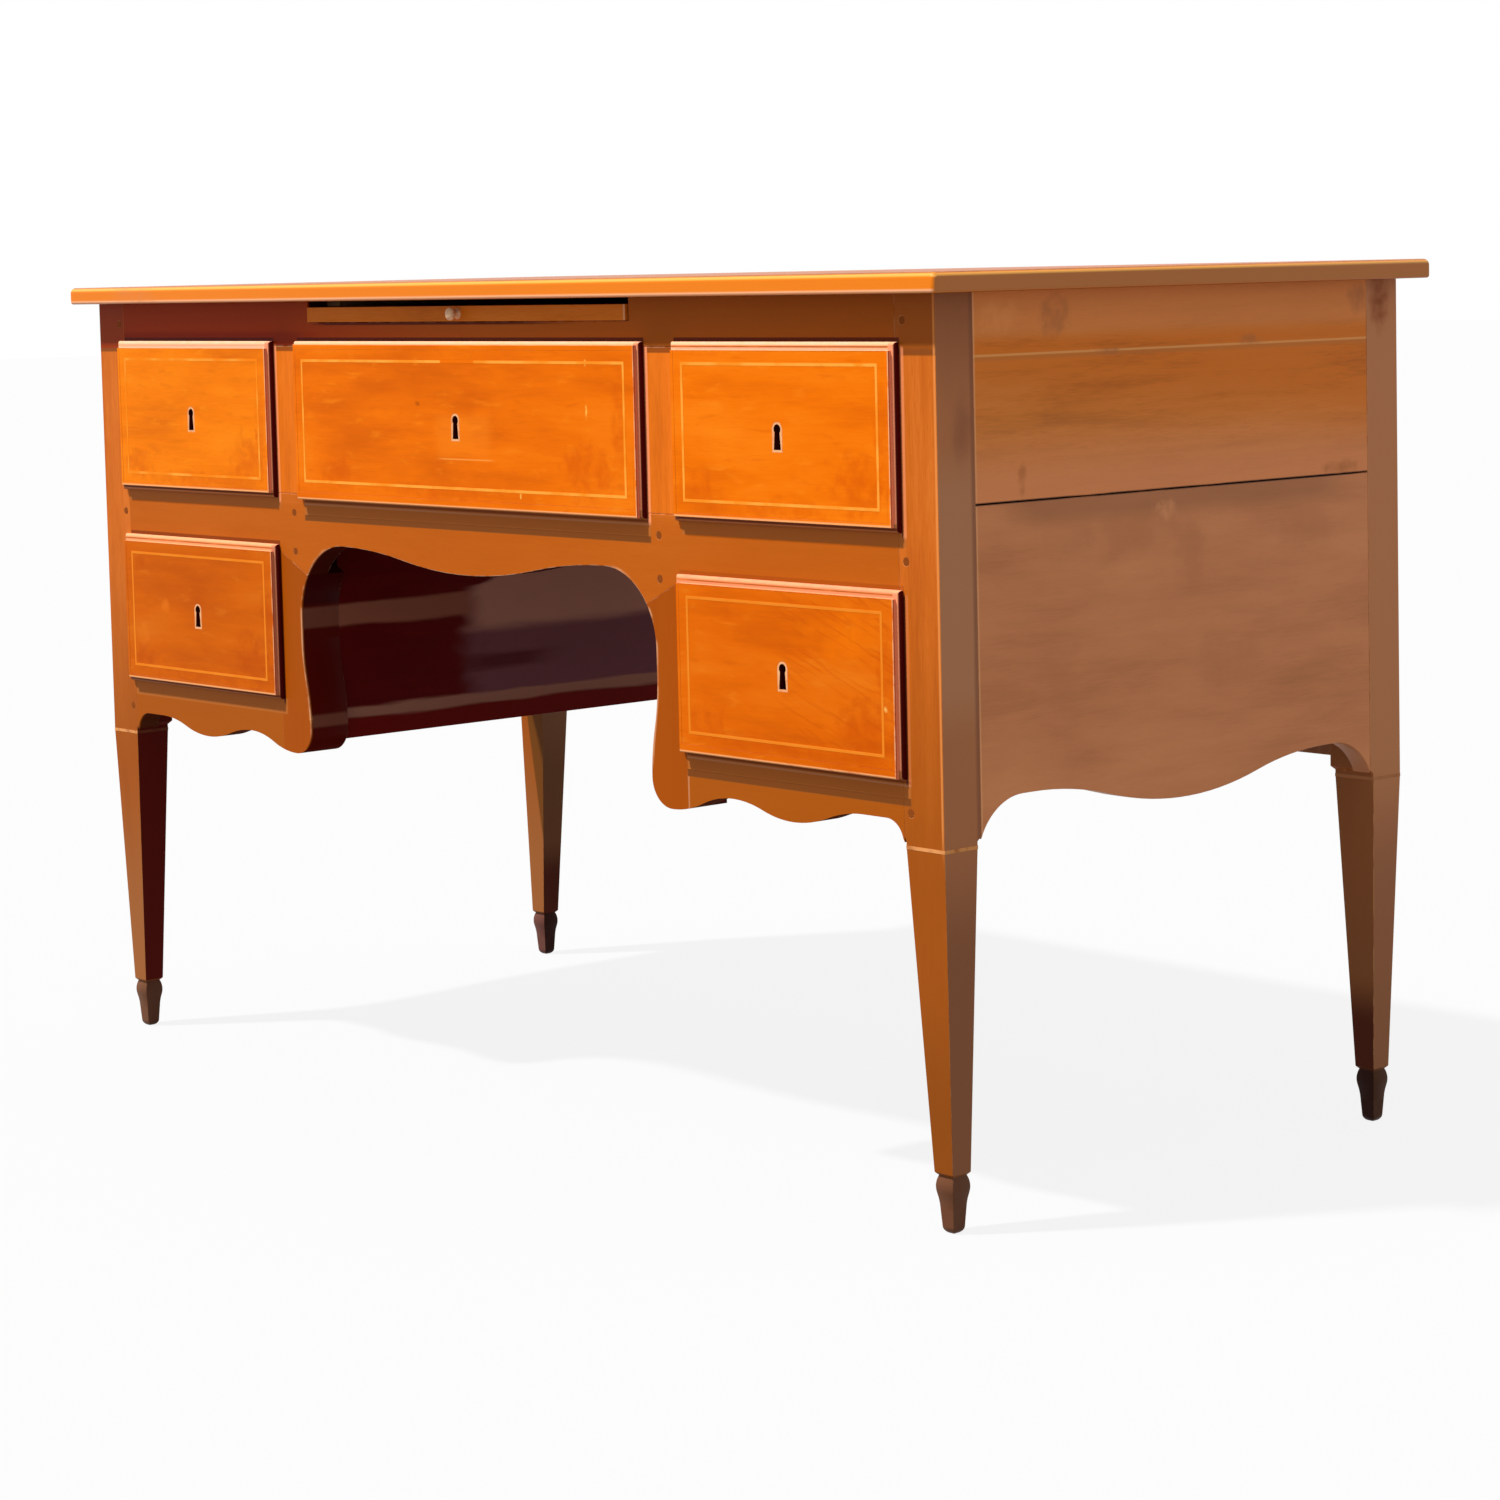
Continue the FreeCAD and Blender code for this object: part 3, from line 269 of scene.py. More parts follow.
def shade_round(f, drawers):
    """Painted shade and light about shut drawers: a painted shadow line over each lip, a brown band of
    painted shade below it as deep as the drawer's shade, darker past the reach of the real cast shadow, with
    a painted shade line and a painted highlight line in it where the band reaches past that shadow, and on
    its right a painted shadow and a paler band of painted light."""
    front = on_front(f)
    for drawer in drawers:
        low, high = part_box(drawer + "_drawer_front")
        middle = (low + high) / 2.0
        half = (high - low) / 2.0
        depth = SHADE_DEPTH[drawer]
        across = f.spot(f.x, middle.x + 0.004, half.x - 0.001, 0.002) * front
        below = across * f.spot(f.z, low.z - depth / 2.0, depth / 2.0, 0.0012)
        over = f.spot(f.x, middle.x, half.x, 0.0008) * f.spot(f.z, high.z + 0.0014, 0.0016, 0.0010)
        beside = f.spot(f.z, middle.z - 0.004, half.z - 0.002, 0.004) * front
        lightened = f.spot(f.x, high.x + 0.0022, 0.0018, 0.0014)
        # Painted shade: the brown band below the drawer, darker past the real cast shadow, with a painted
        # shade line and a painted highlight line.
        f.coat(SHADE_TONE["band"], below * 0.88)
        if depth > SHADE_CAST:
            cast_foot = low.z - SHADE_CAST
            past = f.step(f.z, cast_foot + SHADE_SOFT, cast_foot - SHADE_SOFT)
            f.coat(SHADE_TONE["band past the shadow"], below * past * 0.9)
            f.coat(SHADE_TONE["dark line"], across * f.spot(f.z, low.z - 0.0022, 0.0006, 0.0008) * 0.7)
            f.coat(SHADE_TONE["pale line"], across * f.spot(f.z, low.z - 0.0050, 0.0004, 0.0008) * 0.45)
        # Painted shadow over the lip, painted light in the cast shadow right of the lip, and a painted shadow
        # just beside it.
        f.coat(SHADE_TONE["over"], over * front * SHADE_OVER[drawer])
        f.coat(SHADE_TONE["lightened"], beside * lightened * PAINTED_LIGHT_SHARE[drawer])
        f.coat(SHADE_TONE["beside"], beside * f.spot(f.x, high.x, SHADE_WIDTH[drawer], 0.0006) * 0.85)


LEGS = ["front_left_leg", "front_right_leg", "back_left_leg", "back_right_leg"]
POST_OUTER = np.array([0.623, 0.288])
CARCASS_WALNUT = ((0.44, 0.085, 0.006), (0.61, 0.138, 0.011), (0.74, 0.195, 0.026))
WORN = (0.86, 0.44, 0.17)
LEG_TONE = {
    "shank": (0.31, 0.072, 0.004), "ankle": (0.25, 0.062, 0.004), "left ankle": (0.40, 0.150, 0.046),
    "painted_sheen": (0.50, 0.205, 0.092), "sunned rear": (0.66, 0.27, 0.12), "sunned shank": (0.27, 0.105, 0.050),
    "shaded": (0.095, 0.0012, 0.0008), "shaded rear": (0.23, 0.100, 0.042),
    "knot": (0.27, 0.050, 0.008), "bruise": (0.34, 0.125, 0.06),
    "weathered": (0.55, 0.250, 0.122), "sheltered": (0.33, 0.115, 0.046), "joint": (0.24, 0.09, 0.05),
    "head line": (0.22, 0.055, 0.008), "head": (0.40, 0.095, 0.008), "left head": (0.31, 0.030, 0.001),
    "bright arris": (0.92, 0.34, 0.09), "back right front": (0.36, 0.16, 0.075),
    "shadow_wedge": (0.15, 0.048, 0.004), "back left inner": (0.33, 0.150, 0.080), "dim ankle": (0.07, 0.004, 0.002),
    "foot": (0.13, 0.055, 0.030), "rear foot": (0.02, 0.007, 0.005), "lit foot": (0.17, 0.062, 0.048),
}
leg = wood("leg_walnut", "Z", CARCASS_WALNUT, (0.3, 0.1, 0.0))
outward = leg.facing_x * leg.x.math("SIGN")
outer_face = leg.step(outward, 0.5, 0.9)
inner_face = leg.step(outward, -0.5, -0.9)
front_face = leg.step(leg.facing_y, -0.5, -0.9)
rear = leg.step(leg.y, 0.0, 0.2)
fore = 1.0 - rear
right_leg = leg.step(leg.x, 0.0, 0.1)
left_leg = 1.0 - right_leg
# Painted shade: the legs darken towards the floor, a little less low on the left legs.
leg.coat(LEG_TONE["shank"], leg.step(leg.z, 0.56, 0.28) * 0.8)
leg.coat(LEG_TONE["ankle"], leg.step(leg.z, 0.26, 0.08) * 0.8)
leg.coat(LEG_TONE["left ankle"], left_leg * leg.step(leg.z, 0.30, 0.10) * 0.6)
# Painted sheen on the outer faces, paler on the back legs and darker low down, and painted shade on the inner
# faces.
leg.coat(LEG_TONE["painted_sheen"], outer_face * 0.85)
leg.coat(LEG_TONE["sunned rear"], outer_face * rear * 0.7)
leg.coat(LEG_TONE["sunned shank"], outer_face * leg.step(leg.z, 0.34, 0.22) * (0.8 - rear * 0.25))
leg.coat(LEG_TONE["shaded"], inner_face * leg.step(leg.z, 0.38, 0.35) * 0.97)
leg.coat(LEG_TONE["shaded rear"], inner_face * rear * 0.8)
leg.patch((POST_OUTER[0], 0.264, 0.745), (0.01, 0.016, 0.030), LEG_TONE["knot"], share=0.9, grain=0.012,
          ragged=1.6)
leg.patch((POST_OUTER[0], -0.260, 0.645), (0.01, 0.012, 0.05), LEG_TONE["bruise"], share=0.7, grain=0.05)
leg.coat(LEG_TONE["weathered"], outer_face * fore * leg.spot(leg.z, 0.525, 0.075, 0.05) * 0.8)
leg.coat(LEG_TONE["sheltered"], outer_face * fore * leg.step(leg.z, 0.655, 0.750) * 0.7)
leg.coat(LEG_TONE["joint"], outer_face * leg.spot(leg.y, -0.2465, 0.002, 0.004) * 0.6)
# Painted shadow of the top across the front legs' heads, darkest in a strip at its lower edge.
head = front_face * fore
leg.coat(LEG_TONE["head line"], head * leg.step(leg.z, 0.7125, 0.7145) * 0.9)
leg.coat(LEG_TONE["head"], head * leg.step(leg.z, 0.7175, 0.7205) * 0.9)
leg.coat(LEG_TONE["left head"], head * left_leg * leg.step(leg.z, 0.7155, 0.7185) * 0.9)
# Painted highlight along the front right arris of the right legs.
right_edge = leg.spot(leg.x, 0.6212, 0.0007, 0.0009) * leg.step(leg.z, 0.30, 0.34)
leg.coat(LEG_TONE["bright arris"], front_face * right_edge * 0.55)
leg.coat(LEG_TONE["back right front"], front_face * rear * right_leg * 0.5)
# Painted shadow: a dark wedge over the back left leg's front face, under the desk.
shadow_wedge = leg.step(leg.x + leg.z * 0.1427, -0.5721, -0.5693) * leg.step(leg.z, 0.12, 0.15)
leg.coat(LEG_TONE["shadow_wedge"], front_face * rear * left_leg * shadow_wedge * 0.9)
leg.coat(LEG_TONE["back left inner"], inner_face * rear * left_leg * leg.step(leg.z, 0.20, 0.31) * 0.6)
# Painted shade low on the dim sides of the back legs.
dim_sides = front_face * right_leg + (1.0 - front_face) * left_leg
leg.coat(LEG_TONE["dim ankle"], leg.step(leg.z, 0.138, 0.090) * rear * dim_sides * 0.85)
vase_foot = leg.step(leg.z, 0.050, 0.046)
leg.coat(LEG_TONE["foot"], vase_foot * fore * 0.85)
# Painted shade: the back feet near black.
leg.coat(LEG_TONE["rear foot"], vase_foot * rear * 0.8)
leg.coat(LEG_TONE["lit foot"], vase_foot * rear * left_leg * leg.step(leg.facing_y, -0.3, -0.8) * 0.8)
arris(leg, WORN, leg.step(leg.z, 0.05, 0.06) * 0.4)
# Painted shade and light about the right-hand drawers, on the right legs.
shade_round(leg, ["right_top", "right_lower"])
ease(LEGS, width=0.0009)
finish_nodes(LEGS, leg.close(rough=0.42, bump=leg.fibre, height=0.0001, Specular_IOR_Level=0.06))


# Leg bands
# A pale string of boxwood let into each leg where the taper starts, running round all
# four faces and cleaned off level with them.

POST_INNER = np.array([0.579, 0.2505])
BAND_MIDDLE = 0.3162
BAND_HALF = 0.0015
BAND_PROUD = 0.00012


def new_piece(name, points, faces, material, body):
    """A finished piece from arrays of points and faces, riding on a body."""
    mesh = bpy.data.meshes.new(name)
    mesh.from_pydata(points.tolist(), [], list(faces))
    mesh.validate()
    mesh.materials.append(material)
    piece = bpy.data.objects.new(name, mesh)
    bpy.context.scene.collection.objects.link(piece)
    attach(piece, body)
    return piece


def hoop(corners, axes, profile):
    """Carry a closed profile round a closed path: point (i, j) is path corner i moved by profile point j.

    corners is (n, 3), axes is (n, 3, 2) and profile is (m, 2) in those axes. Faces join neighbours both ways.
    """
    points = corners[:, None, :] + np.einsum("nka,ma->nmk", axes, profile)
    n, m = points.shape[:2]
    i, j = np.meshgrid(np.arange(n), np.arange(m), indexing="ij")
    next_i = (i + 1) % n
    next_j = (j + 1) % m
    faces = np.stack([i * m + j, i * m + next_j, next_i * m + next_j, next_i * m + j], -1)
    return points.reshape(-1, 3), faces.reshape(-1, 4)


def boxwood(name, pale, aged, size):
    """Boxwood: straw coloured, browned here and there where polish has filled it."""
    f = Finish(name)
    f.colour = f.mix(pale, aged, f.step(f.noise(EVEN, size, detail=3.0), 0.42, 0.72))
    return f


BAND_TONE = {"rear": (0.42, 0.160, 0.065), "shaded": (0.10, 0.006, 0.003)}
band = boxwood("band_boxwood", (0.78, 0.32, 0.10), (0.46, 0.15, 0.04), size=0.012)
shaded_face = band.step(band.facing_x * band.x.math("SIGN"), -0.5, -0.9)
band.coat(BAND_TONE["rear"], band.step(band.y, -0.1, 0.1) * 0.75)
band.coat(BAND_TONE["shaded"], shaded_face * band.step(band.y, 0.1, -0.1) * 0.9)
band_string = band.close(rough=0.45, Specular_IOR_Level=0.1)
SIGNS = np.array([[-1.0, -1.0], [1.0, -1.0], [1.0, 1.0], [-1.0, 1.0]])
band_profile = np.array([[0.0, -1.0], [1.0, -1.0], [1.0, 1.0], [0.0, 1.0]])
for post in LEGS:
    side = np.array([-1.0 if "left" in post else 1.0, -1.0 if "front" in post else 1.0])
    half = (POST_OUTER - POST_INNER) / 2.0
    middle = (POST_OUTER + POST_INNER) / 2.0 * side
    corners = np.column_stack([middle + SIGNS * half, np.full(4, BAND_MIDDLE)])
    axes = np.zeros((4, 3, 2))
    axes[:, :2, 0] = SIGNS * BAND_PROUD
    axes[:, 2, 1] = BAND_HALF
    points, faces = hoop(corners, axes, band_profile)
    new_piece(post + "_band", points, faces, band_string, "carcass")


# Front rails
# The top rail, the arched cross rail and the two scalloped bottom rails, sawn from solid
# walnut with level grain and tenoned into the legs.

RUBBED = (0.95, 0.60, 0.38)
ARCH_CORNER_X = 0.200
ARCH_CORNER_Z = 0.457
ARCH_RADIUS = 0.070
TOE_SWELL = 0.010


def knee_edge(f):
    """A pale border on the front faces along the kneehole, partly wear and partly painted highlight: how far
    a point lies outside the arch's round corner, its upright side and the swell of the stile's toe, turned
    into a mask two millimetres wide."""
    above = (f.z - ARCH_CORNER_Z).math("MAXIMUM", 0.0)
    aside = abs(f.x) - ARCH_CORNER_X
    round_corner = (aside * aside + above * above).math("SQRT") - ARCH_RADIUS
    away = round_corner + f.step(f.z, 0.432, 0.345) * TOE_SWELL
    patchy = f.step(f.noise(EVEN, size=0.03, detail=3.0), 0.38, 0.58)
    shown = on_front(f) * f.step(abs(f.x), 0.205, 0.225) * f.step(f.z, 0.335, 0.350)
    return f.step(away, 0.0030, 0.0010) * shown * patchy


def behind_front(f):
    """0 on the front plane of the frame, rising to 1 just behind it, on the thickness of a board."""
    return f.step(f.y, FRAME_FRONT + 0.0008, FRAME_FRONT + 0.0025)


def sawn_roughness(f):
    """Polish on the faces, and bare saw marks on the undersides that were never finished."""
    return f.step(f.facing_z, -0.2, -0.6) * 0.55 + 0.40


FRONT_RAILS = ["front_top_rail", "front_cross_rail", "left_bottom_rail", "right_bottom_rail"]
RAIL_TONE = {
    "cross rail": (0.47, 0.098, 0.004), "bottom rail": (0.35, 0.082, 0.004), "top rail": (0.37, 0.085, 0.006),
    "maroon": (0.33, 0.026, 0.001), "maroon strip": (0.19, 0.008, 0.0005), "slide gap": (0.05, 0.002, 0.001),
    "arch depth": (0.045, 0.001, 0.0008), "underside": (0.06, 0.010, 0.005),
    "knee edge": (0.80, 0.40, 0.20), "open joint": (0.85, 0.42, 0.22),
}
rail = wood("rail_walnut", "X", CARCASS_WALNUT, (0.0, 0.7, 0.2))
top_rail = rail.step(rail.z, 0.69, 0.71)
# Painted shade: the cross rail and the bottom rails are darker, lower down.
rail.coat(RAIL_TONE["cross rail"], rail.step(rail.z, 0.60, 0.55) * 0.75)
rail.coat(RAIL_TONE["bottom rail"], rail.step(rail.z, 0.46, 0.38) * 0.65)
rail.coat(RAIL_TONE["top rail"], top_rail * 0.9)
rail.coat(RAIL_TONE["maroon"], top_rail * rail.step(rail.x, 0.10, -0.35) * 0.9)
# Painted shade: a dark strip over the left top drawer's lip.
strip_height = rail.spot(rail.z, 0.7265, 0.004, 0.006)
rail.coat(RAIL_TONE["maroon strip"], rail.step(rail.x, -0.20, -0.30) * strip_height * 0.6)
slide_low, slide_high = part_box("writing_slide")
# Painted shade: a dark line on the rail under the writing slide.
under_slide = rail.step(rail.x, 0.19, 0.06) * rail.step(rail.x, slide_low.x, slide_low.x + 0.03)
slide_gap_shade = rail.spot(rail.z, slide_low.z - 0.0016, 0.0010, 0.0008)
rail.coat(RAIL_TONE["slide gap"], under_slide * slide_gap_shade * 0.85)
# Painted shade: near black on the rail faces behind the front at the arch, and on the undersides low down.
rail_depth = behind_front(rail)
rail.coat(RAIL_TONE["arch depth"], rail_depth * rail.step(rail.z, 0.44, 0.46) * 0.97)
underside = rail.step(rail.facing_z, -0.02, -0.2) * rail.step(rail.z, 0.38, 0.37)
rail.coat(RAIL_TONE["underside"], rail_depth * underside * 0.9)
# Pale border along the kneehole, partly wear and partly painted highlight.
rail.coat(RAIL_TONE["knee edge"], knee_edge(rail) * 0.6)
open_joint = rail.spot(rail.x, 0.3090, 0.0006, 0.0008) * rail.step(rail.z, 0.358, 0.352)
rail.coat(RAIL_TONE["open joint"], open_joint * (1.0 - rail_depth) * 0.35)
arch = rail.step(abs(rail.x), 0.262, 0.258) * rail.step(rail.z, 0.540, 0.535)
arris(rail, RUBBED, arch * 0.8 + 0.15)
# Painted shade and light about every drawer, on the rails.
shade_round(rail, DRAWERS)
ease(FRONT_RAILS, width=0.0008)
rail_finish = rail.close(rough=sawn_roughness(rail), bump=rail.fibre, height=0.0001, Specular_IOR_Level=0.04)
finish_nodes(FRONT_RAILS, rail_finish)


# Muntins and knee stiles
# Short upright muntins between the upper drawers, and below them the stiles whose
# inner edges carry the arch down to a rounded toe; grain runs upright.

STILES = ["left_muntin", "right_muntin", "left_knee_stile", "right_knee_stile"]
STILE_WALNUT = ((0.60, 0.120, 0.006), (0.80, 0.178, 0.010), (0.90, 0.230, 0.022))
STILE_TONE = {
    "knee stile": (0.34, 0.064, 0.001), "muntin head": (0.26, 0.060, 0.008), "knee edge": (0.78, 0.38, 0.19),
    "depth": (0.080, 0.001, 0.0006), "gleam": (0.24, 0.080, 0.048), "chip": (0.90, 0.42, 0.16),
    "arch depth": (0.045, 0.0006, 0.0005),
}
GLEAMS = ((0.4530, 0.0080), (0.3520, 0.0040))
CHIP_HEIGHTS = (0.383, 0.355, 0.43)
stile = wood("stile_walnut", "Z", STILE_WALNUT, (0.5, 0.0, 0.3))
# Painted shade: the knee stiles are darker than the muntins, lower down.
stile.coat(STILE_TONE["knee stile"], stile.step(stile.z, 0.57, 0.54) * 0.90)
# Painted shadow of the top across the heads of the muntins.
stile.coat(STILE_TONE["muntin head"], stile.step(stile.z, 0.7140, 0.7155) * 0.9)
# Pale border along the kneehole, partly wear and partly painted highlight.
stile.coat(STILE_TONE["knee edge"], knee_edge(stile) * stile.step(stile.z, 0.53, 0.52) * 0.65)
# Painted shade: the stiles' faces behind the front, in the kneehole, are near black, with painted reflections
# as gleams.
stile_depth = behind_front(stile)
stile.coat(STILE_TONE["depth"], stile_depth * 0.97)
for gleam_z, gleam_half in GLEAMS:
    stile.coat(STILE_TONE["gleam"], stile_depth * stile.spot(stile.z, gleam_z, gleam_half, 0.004) * 0.7)
for chip_z in CHIP_HEIGHTS:
    chip = (-0.260, FRAME_FRONT, chip_z)
    stile.patch(chip, (0.003, 0.002, 0.006), STILE_TONE["chip"], share=0.8, grain=0.004)
# Painted shade: near black high in the arch, behind the front.
stile.coat(STILE_TONE["arch depth"], stile_depth * stile.step(stile.z, 0.463, 0.468) * 0.95)
arris(stile, RUBBED, stile.step(stile.z, 0.520, 0.500) * 0.7 + 0.2)
# Painted shade and light about the left and centre drawers, on the muntins and stiles.
shade_round(stile, ["left_top", "left_lower", "centre"])
ease(STILES, width=0.0008)
stile_finish = stile.close(rough=sawn_roughness(stile), bump=stile.fibre, height=0.0001,
                           Specular_IOR_Level=0.04)
finish_nodes(STILES, stile_finish)


# Pegs
# Riven eight-sided oak pins that draw the front joints tight; their end grain shows
# as small dark dots level with the frame.

peg = Finish("peg_end_grain")
peg.colour = peg.mix((0.17, 0.034, 0.005), (0.34, 0.085, 0.012), peg.noise(EVEN, size=0.0015))
finish_nodes(["frame_pegs"], peg.close(rough=0.6, Specular_IOR_Level=0.04))


# Side boards
# Two wide boards close each side, tongued into the legs; they have shrunk apart, so a
# dark crack runs between them, and the upper one shows a pale glue line near its top.

UPPER_SIDES = ["left_side_upper_board", "right_side_upper_board"]
LOWER_SIDES = ["left_side_lower_board", "right_side_lower_board"]
UPPER_WALNUT = ((0.53, 0.152, 0.018), (0.77, 0.228, 0.029), (0.87, 0.285, 0.058))
LOWER_WALNUT = ((0.54, 0.185, 0.062), (0.69, 0.245, 0.088), (0.78, 0.290, 0.108))
SIDE_TONE = {
    "faded": (0.86, 0.305, 0.118), "top strip": (0.84, 0.265, 0.060), "glow": (0.80, 0.185, 0.001),
    "glow grain": (0.54, 0.120, 0.002), "pale end": (0.93, 0.330, 0.085), "glue edge": (0.62, 0.19, 0.03),
    "glue line": (0.98, 0.46, 0.14), "upper smudge": (0.50, 0.150, 0.035),
    "lower smudge": (0.55, 0.190, 0.066), "under crack": (0.42, 0.150, 0.055), "fleck": (0.86, 0.34, 0.14),
    "edge": (0.95, 0.46, 0.20), "crack": (0.05, 0.012, 0.004), "inner_shade": (0.07, 0.008, 0.003),
}
GLUE_LINE = 0.7115
CRACK = 0.5925
UPPER_SMUDGES = ((-0.150, 0.742, 0.022, 0.020), (0.234, 0.748, 0.016, 0.016), (0.09, 0.7145, 0.024, 0.006),
                 (-0.193, 0.609, 0.006, 0.018), (0.21, 0.599, 0.035, 0.007), (-0.09, 0.7105, 0.020, 0.004))
LOWER_SMUDGES = ((-0.08, 0.56, 0.09, 0.028), (0.16, 0.55, 0.05, 0.030), (0.01, 0.535, 0.025, 0.030),
                 (-0.16, 0.44, 0.04, 0.05), (0.06, 0.44, 0.05, 0.03))
upper = wood("upper_side_walnut", "Y", UPPER_WALNUT, (0.2, 0.0, 0.9), cloudy=0.6, banded=0.6, fibrous=0.35)
lower = wood("lower_side_walnut", "Y", LOWER_WALNUT, (0.6, 0.0, 0.4), cloudy=0.8, banded=0.3, fibrous=0.2)
glow = upper.step(upper.z + upper.y * 0.08, 0.630, 0.702) * upper.step(upper.z, 0.732, 0.718)
upper.coat(SIDE_TONE["faded"], upper.step(upper.z, 0.665, 0.598) * 0.8)
upper.coat(SIDE_TONE["top strip"], upper.step(upper.z, 0.713, 0.735) * 0.75)
upper.coat(SIDE_TONE["glow"], glow * 0.8)
upper.coat(SIDE_TONE["glow grain"], glow * upper.step(upper.figure, 0.02, -0.22) * 0.7)
upper.patch((0.0, -0.215, 0.742), (None, 0.026, 0.016), SIDE_TONE["pale end"], share=0.7, grain=0.012)
upper.coat(SIDE_TONE["glue edge"], upper.spot(upper.z, GLUE_LINE - 0.0020, 0.0008, 0.0030) * 0.6)
upper.coat(SIDE_TONE["glue line"], upper.spot(upper.z, GLUE_LINE, 0.0004, 0.0010) * 0.7)
for at_y, at_z, wide, tall in UPPER_SMUDGES:
    upper.patch((0.0, at_y, at_z), (None, wide, tall), SIDE_TONE["upper smudge"], share=0.75, grain=0.015)
for at_y, at_z, wide, tall in LOWER_SMUDGES:
    lower.patch((0.0, at_y, at_z), (None, wide, tall), SIDE_TONE["lower smudge"], share=0.6, grain=0.04)
under_crack = lower.step(lower.z, 0.564, 0.582) * lower.step(abs(lower.y), 0.235, 0.170)
lower.coat(SIDE_TONE["under crack"], under_crack * 0.66)
lower.patch((0.0, -0.02, 0.575), (None, 0.018, 0.010), SIDE_TONE["fleck"], share=0.6, grain=0.008)
for board in (upper, lower):
    front_edge = board.step(abs(board.y), 0.2438, 0.2452) * board.step(board.y, 0.1, -0.1)
    board.coat(SIDE_TONE["edge"], front_edge * 0.6)
    gaps = board.step(board.noise((1.0, 8.0, 1.0), size=0.012, detail=3.0), 0.35, 0.5)
    board.coat(SIDE_TONE["crack"], board.spot(board.z, CRACK, 0.0006, 0.0012) * gaps * 0.9)
    # Painted shade: the inward faces of the boards are near black low down.
    inside = board.step(board.facing_x * board.x.math("SIGN"), 0.2, -0.5)
    board.coat(SIDE_TONE["inner_shade"], inside * board.step(board.z, 0.400, 0.390) * 0.92)
ease(UPPER_SIDES + LOWER_SIDES, width=0.0008)
finish_nodes(UPPER_SIDES, upper.close(rough=0.42, bump=upper.fibre, height=0.0001, Specular_IOR_Level=0.2))
finish_nodes(LOWER_SIDES, lower.close(rough=0.42, bump=lower.fibre, height=0.0001, Specular_IOR_Level=0.25))


# Inner panels
# The kneehole's cheeks: thin walnut panels kept out of the sun, so they hold their deep
# red colour and a full polish; painted reflections run along them as pale sheens and dark bands.

INNER = ["left_inner_panel", "right_inner_panel"]
CHEEK_WALNUT = ((0.07, 0.0006, 0.0004), (0.10, 0.0010, 0.0006), (0.13, 0.003, 0.002))
CHEEK_TONE = {
    "foot": (0.16, 0.004, 0.002), "sheen": (0.19, 0.064, 0.076), "dark_reflection": (0.08, 0.004, 0.005),
    "bright sheen": (0.50, 0.225, 0.160), "near gleam": (0.32, 0.105, 0.062),
    "low gleam": (0.38, 0.160, 0.108),
}
cheek = wood("inner_panel_walnut", "Y", CHEEK_WALNUT, (0.1, 0.0, 0.0), cloudy=0.6, banded=0.3, fibrous=0.2)
# Painted reflections: level streaks of pale sheen and gleam, a dark reflected band and a redder zone at the
# foot.
streak = cheek.z + (cheek.noise((1.0, 9.0, 1.0), size=0.010) - 0.5) * 0.007
far = cheek.y + (cheek.noise((1.0, 2.0, 1.0), size=0.030) - 0.5) * 0.06
deep_end = cheek.step(far, -0.100, -0.060)
rise = (far + 0.113).math("MAXIMUM", 0.0) * 0.17
clear = deep_end * cheek.step(streak - rise, 0.467, 0.462)
dark_reflection = cheek.spot(streak, 0.391, 0.004, 0.007) * cheek.step(far, 0.05, -0.03)
cheek.coat(CHEEK_TONE["foot"], cheek.step(streak, 0.352, 0.346) * 0.8)
cheek.coat(CHEEK_TONE["sheen"], clear * cheek.step(streak, 0.352, 0.362) * 0.85)
cheek.coat(CHEEK_TONE["dark_reflection"], clear * dark_reflection * 0.8)
cheek.coat(CHEEK_TONE["bright sheen"], clear * cheek.step(streak, 0.418, 0.432) * 0.85)
cheek.coat(CHEEK_TONE["near gleam"], (1.0 - deep_end) * cheek.spot(streak, 0.4530, 0.0090, 0.0050) * 0.85)
cheek.coat(CHEEK_TONE["low gleam"], cheek.spot(streak, 0.3545, 0.0035, 0.0040) * 0.85)
ease(INNER, width=0.0005)
finish_nodes(INNER, cheek.close(rough=0.38, Specular_IOR_Level=0.04))


# Back
# Plain back panels between stiles, with an arched apron over the kneehole; never polished
# as finely as the front.

BACK_BOARDS = ["left_back_stile", "right_back_stile", "left_back_panel", "right_back_panel"]
BACK_WALNUT = ((0.26, 0.070, 0.018), (0.38, 0.115, 0.030), (0.47, 0.155, 0.045))
for names, finish, along, shift in ((BACK_BOARDS, "back_walnut", "Z", (0.0, 0.3, 0.7)),
                                    (["back_knee_apron"], "apron_walnut", "X", (0.0, 0.3, 0.2))):
    back = wood(finish, along, BACK_WALNUT, shift)
    arris(back, WORN, 0.3)
    ease(names, width=0.0006)
    finish_nodes(names, back.close(rough=0.5, bump=back.fibre, height=0.00012, Specular_IOR_Level=0.3))


# Runners and guides
# Planed softwood strips, never finished, that run from front to back inside the carcass
# and carry and steer the drawers and the slide.

STRIPS = ["drawer_runners", "drawer_guides", "slide_guides"]
RUNNER_PINE = ((0.26, 0.14, 0.06), (0.40, 0.24, 0.11), (0.50, 0.32, 0.16))
runner = wood("runner_pine", "Y", RUNNER_PINE, (0.4, 0.2, 0.1))
ease(STRIPS, width=0.0006)
finish_nodes(STRIPS, runner.close(rough=0.7, bump=runner.fibre, height=0.0002, Specular_IOR_Level=0.2))


# Drawer fronts
# Walnut fronts with a rounded lip and a raised field, the field veneered with a lively
# level figure and polished to a warm orange; a veneer margin carries it out to the lip.

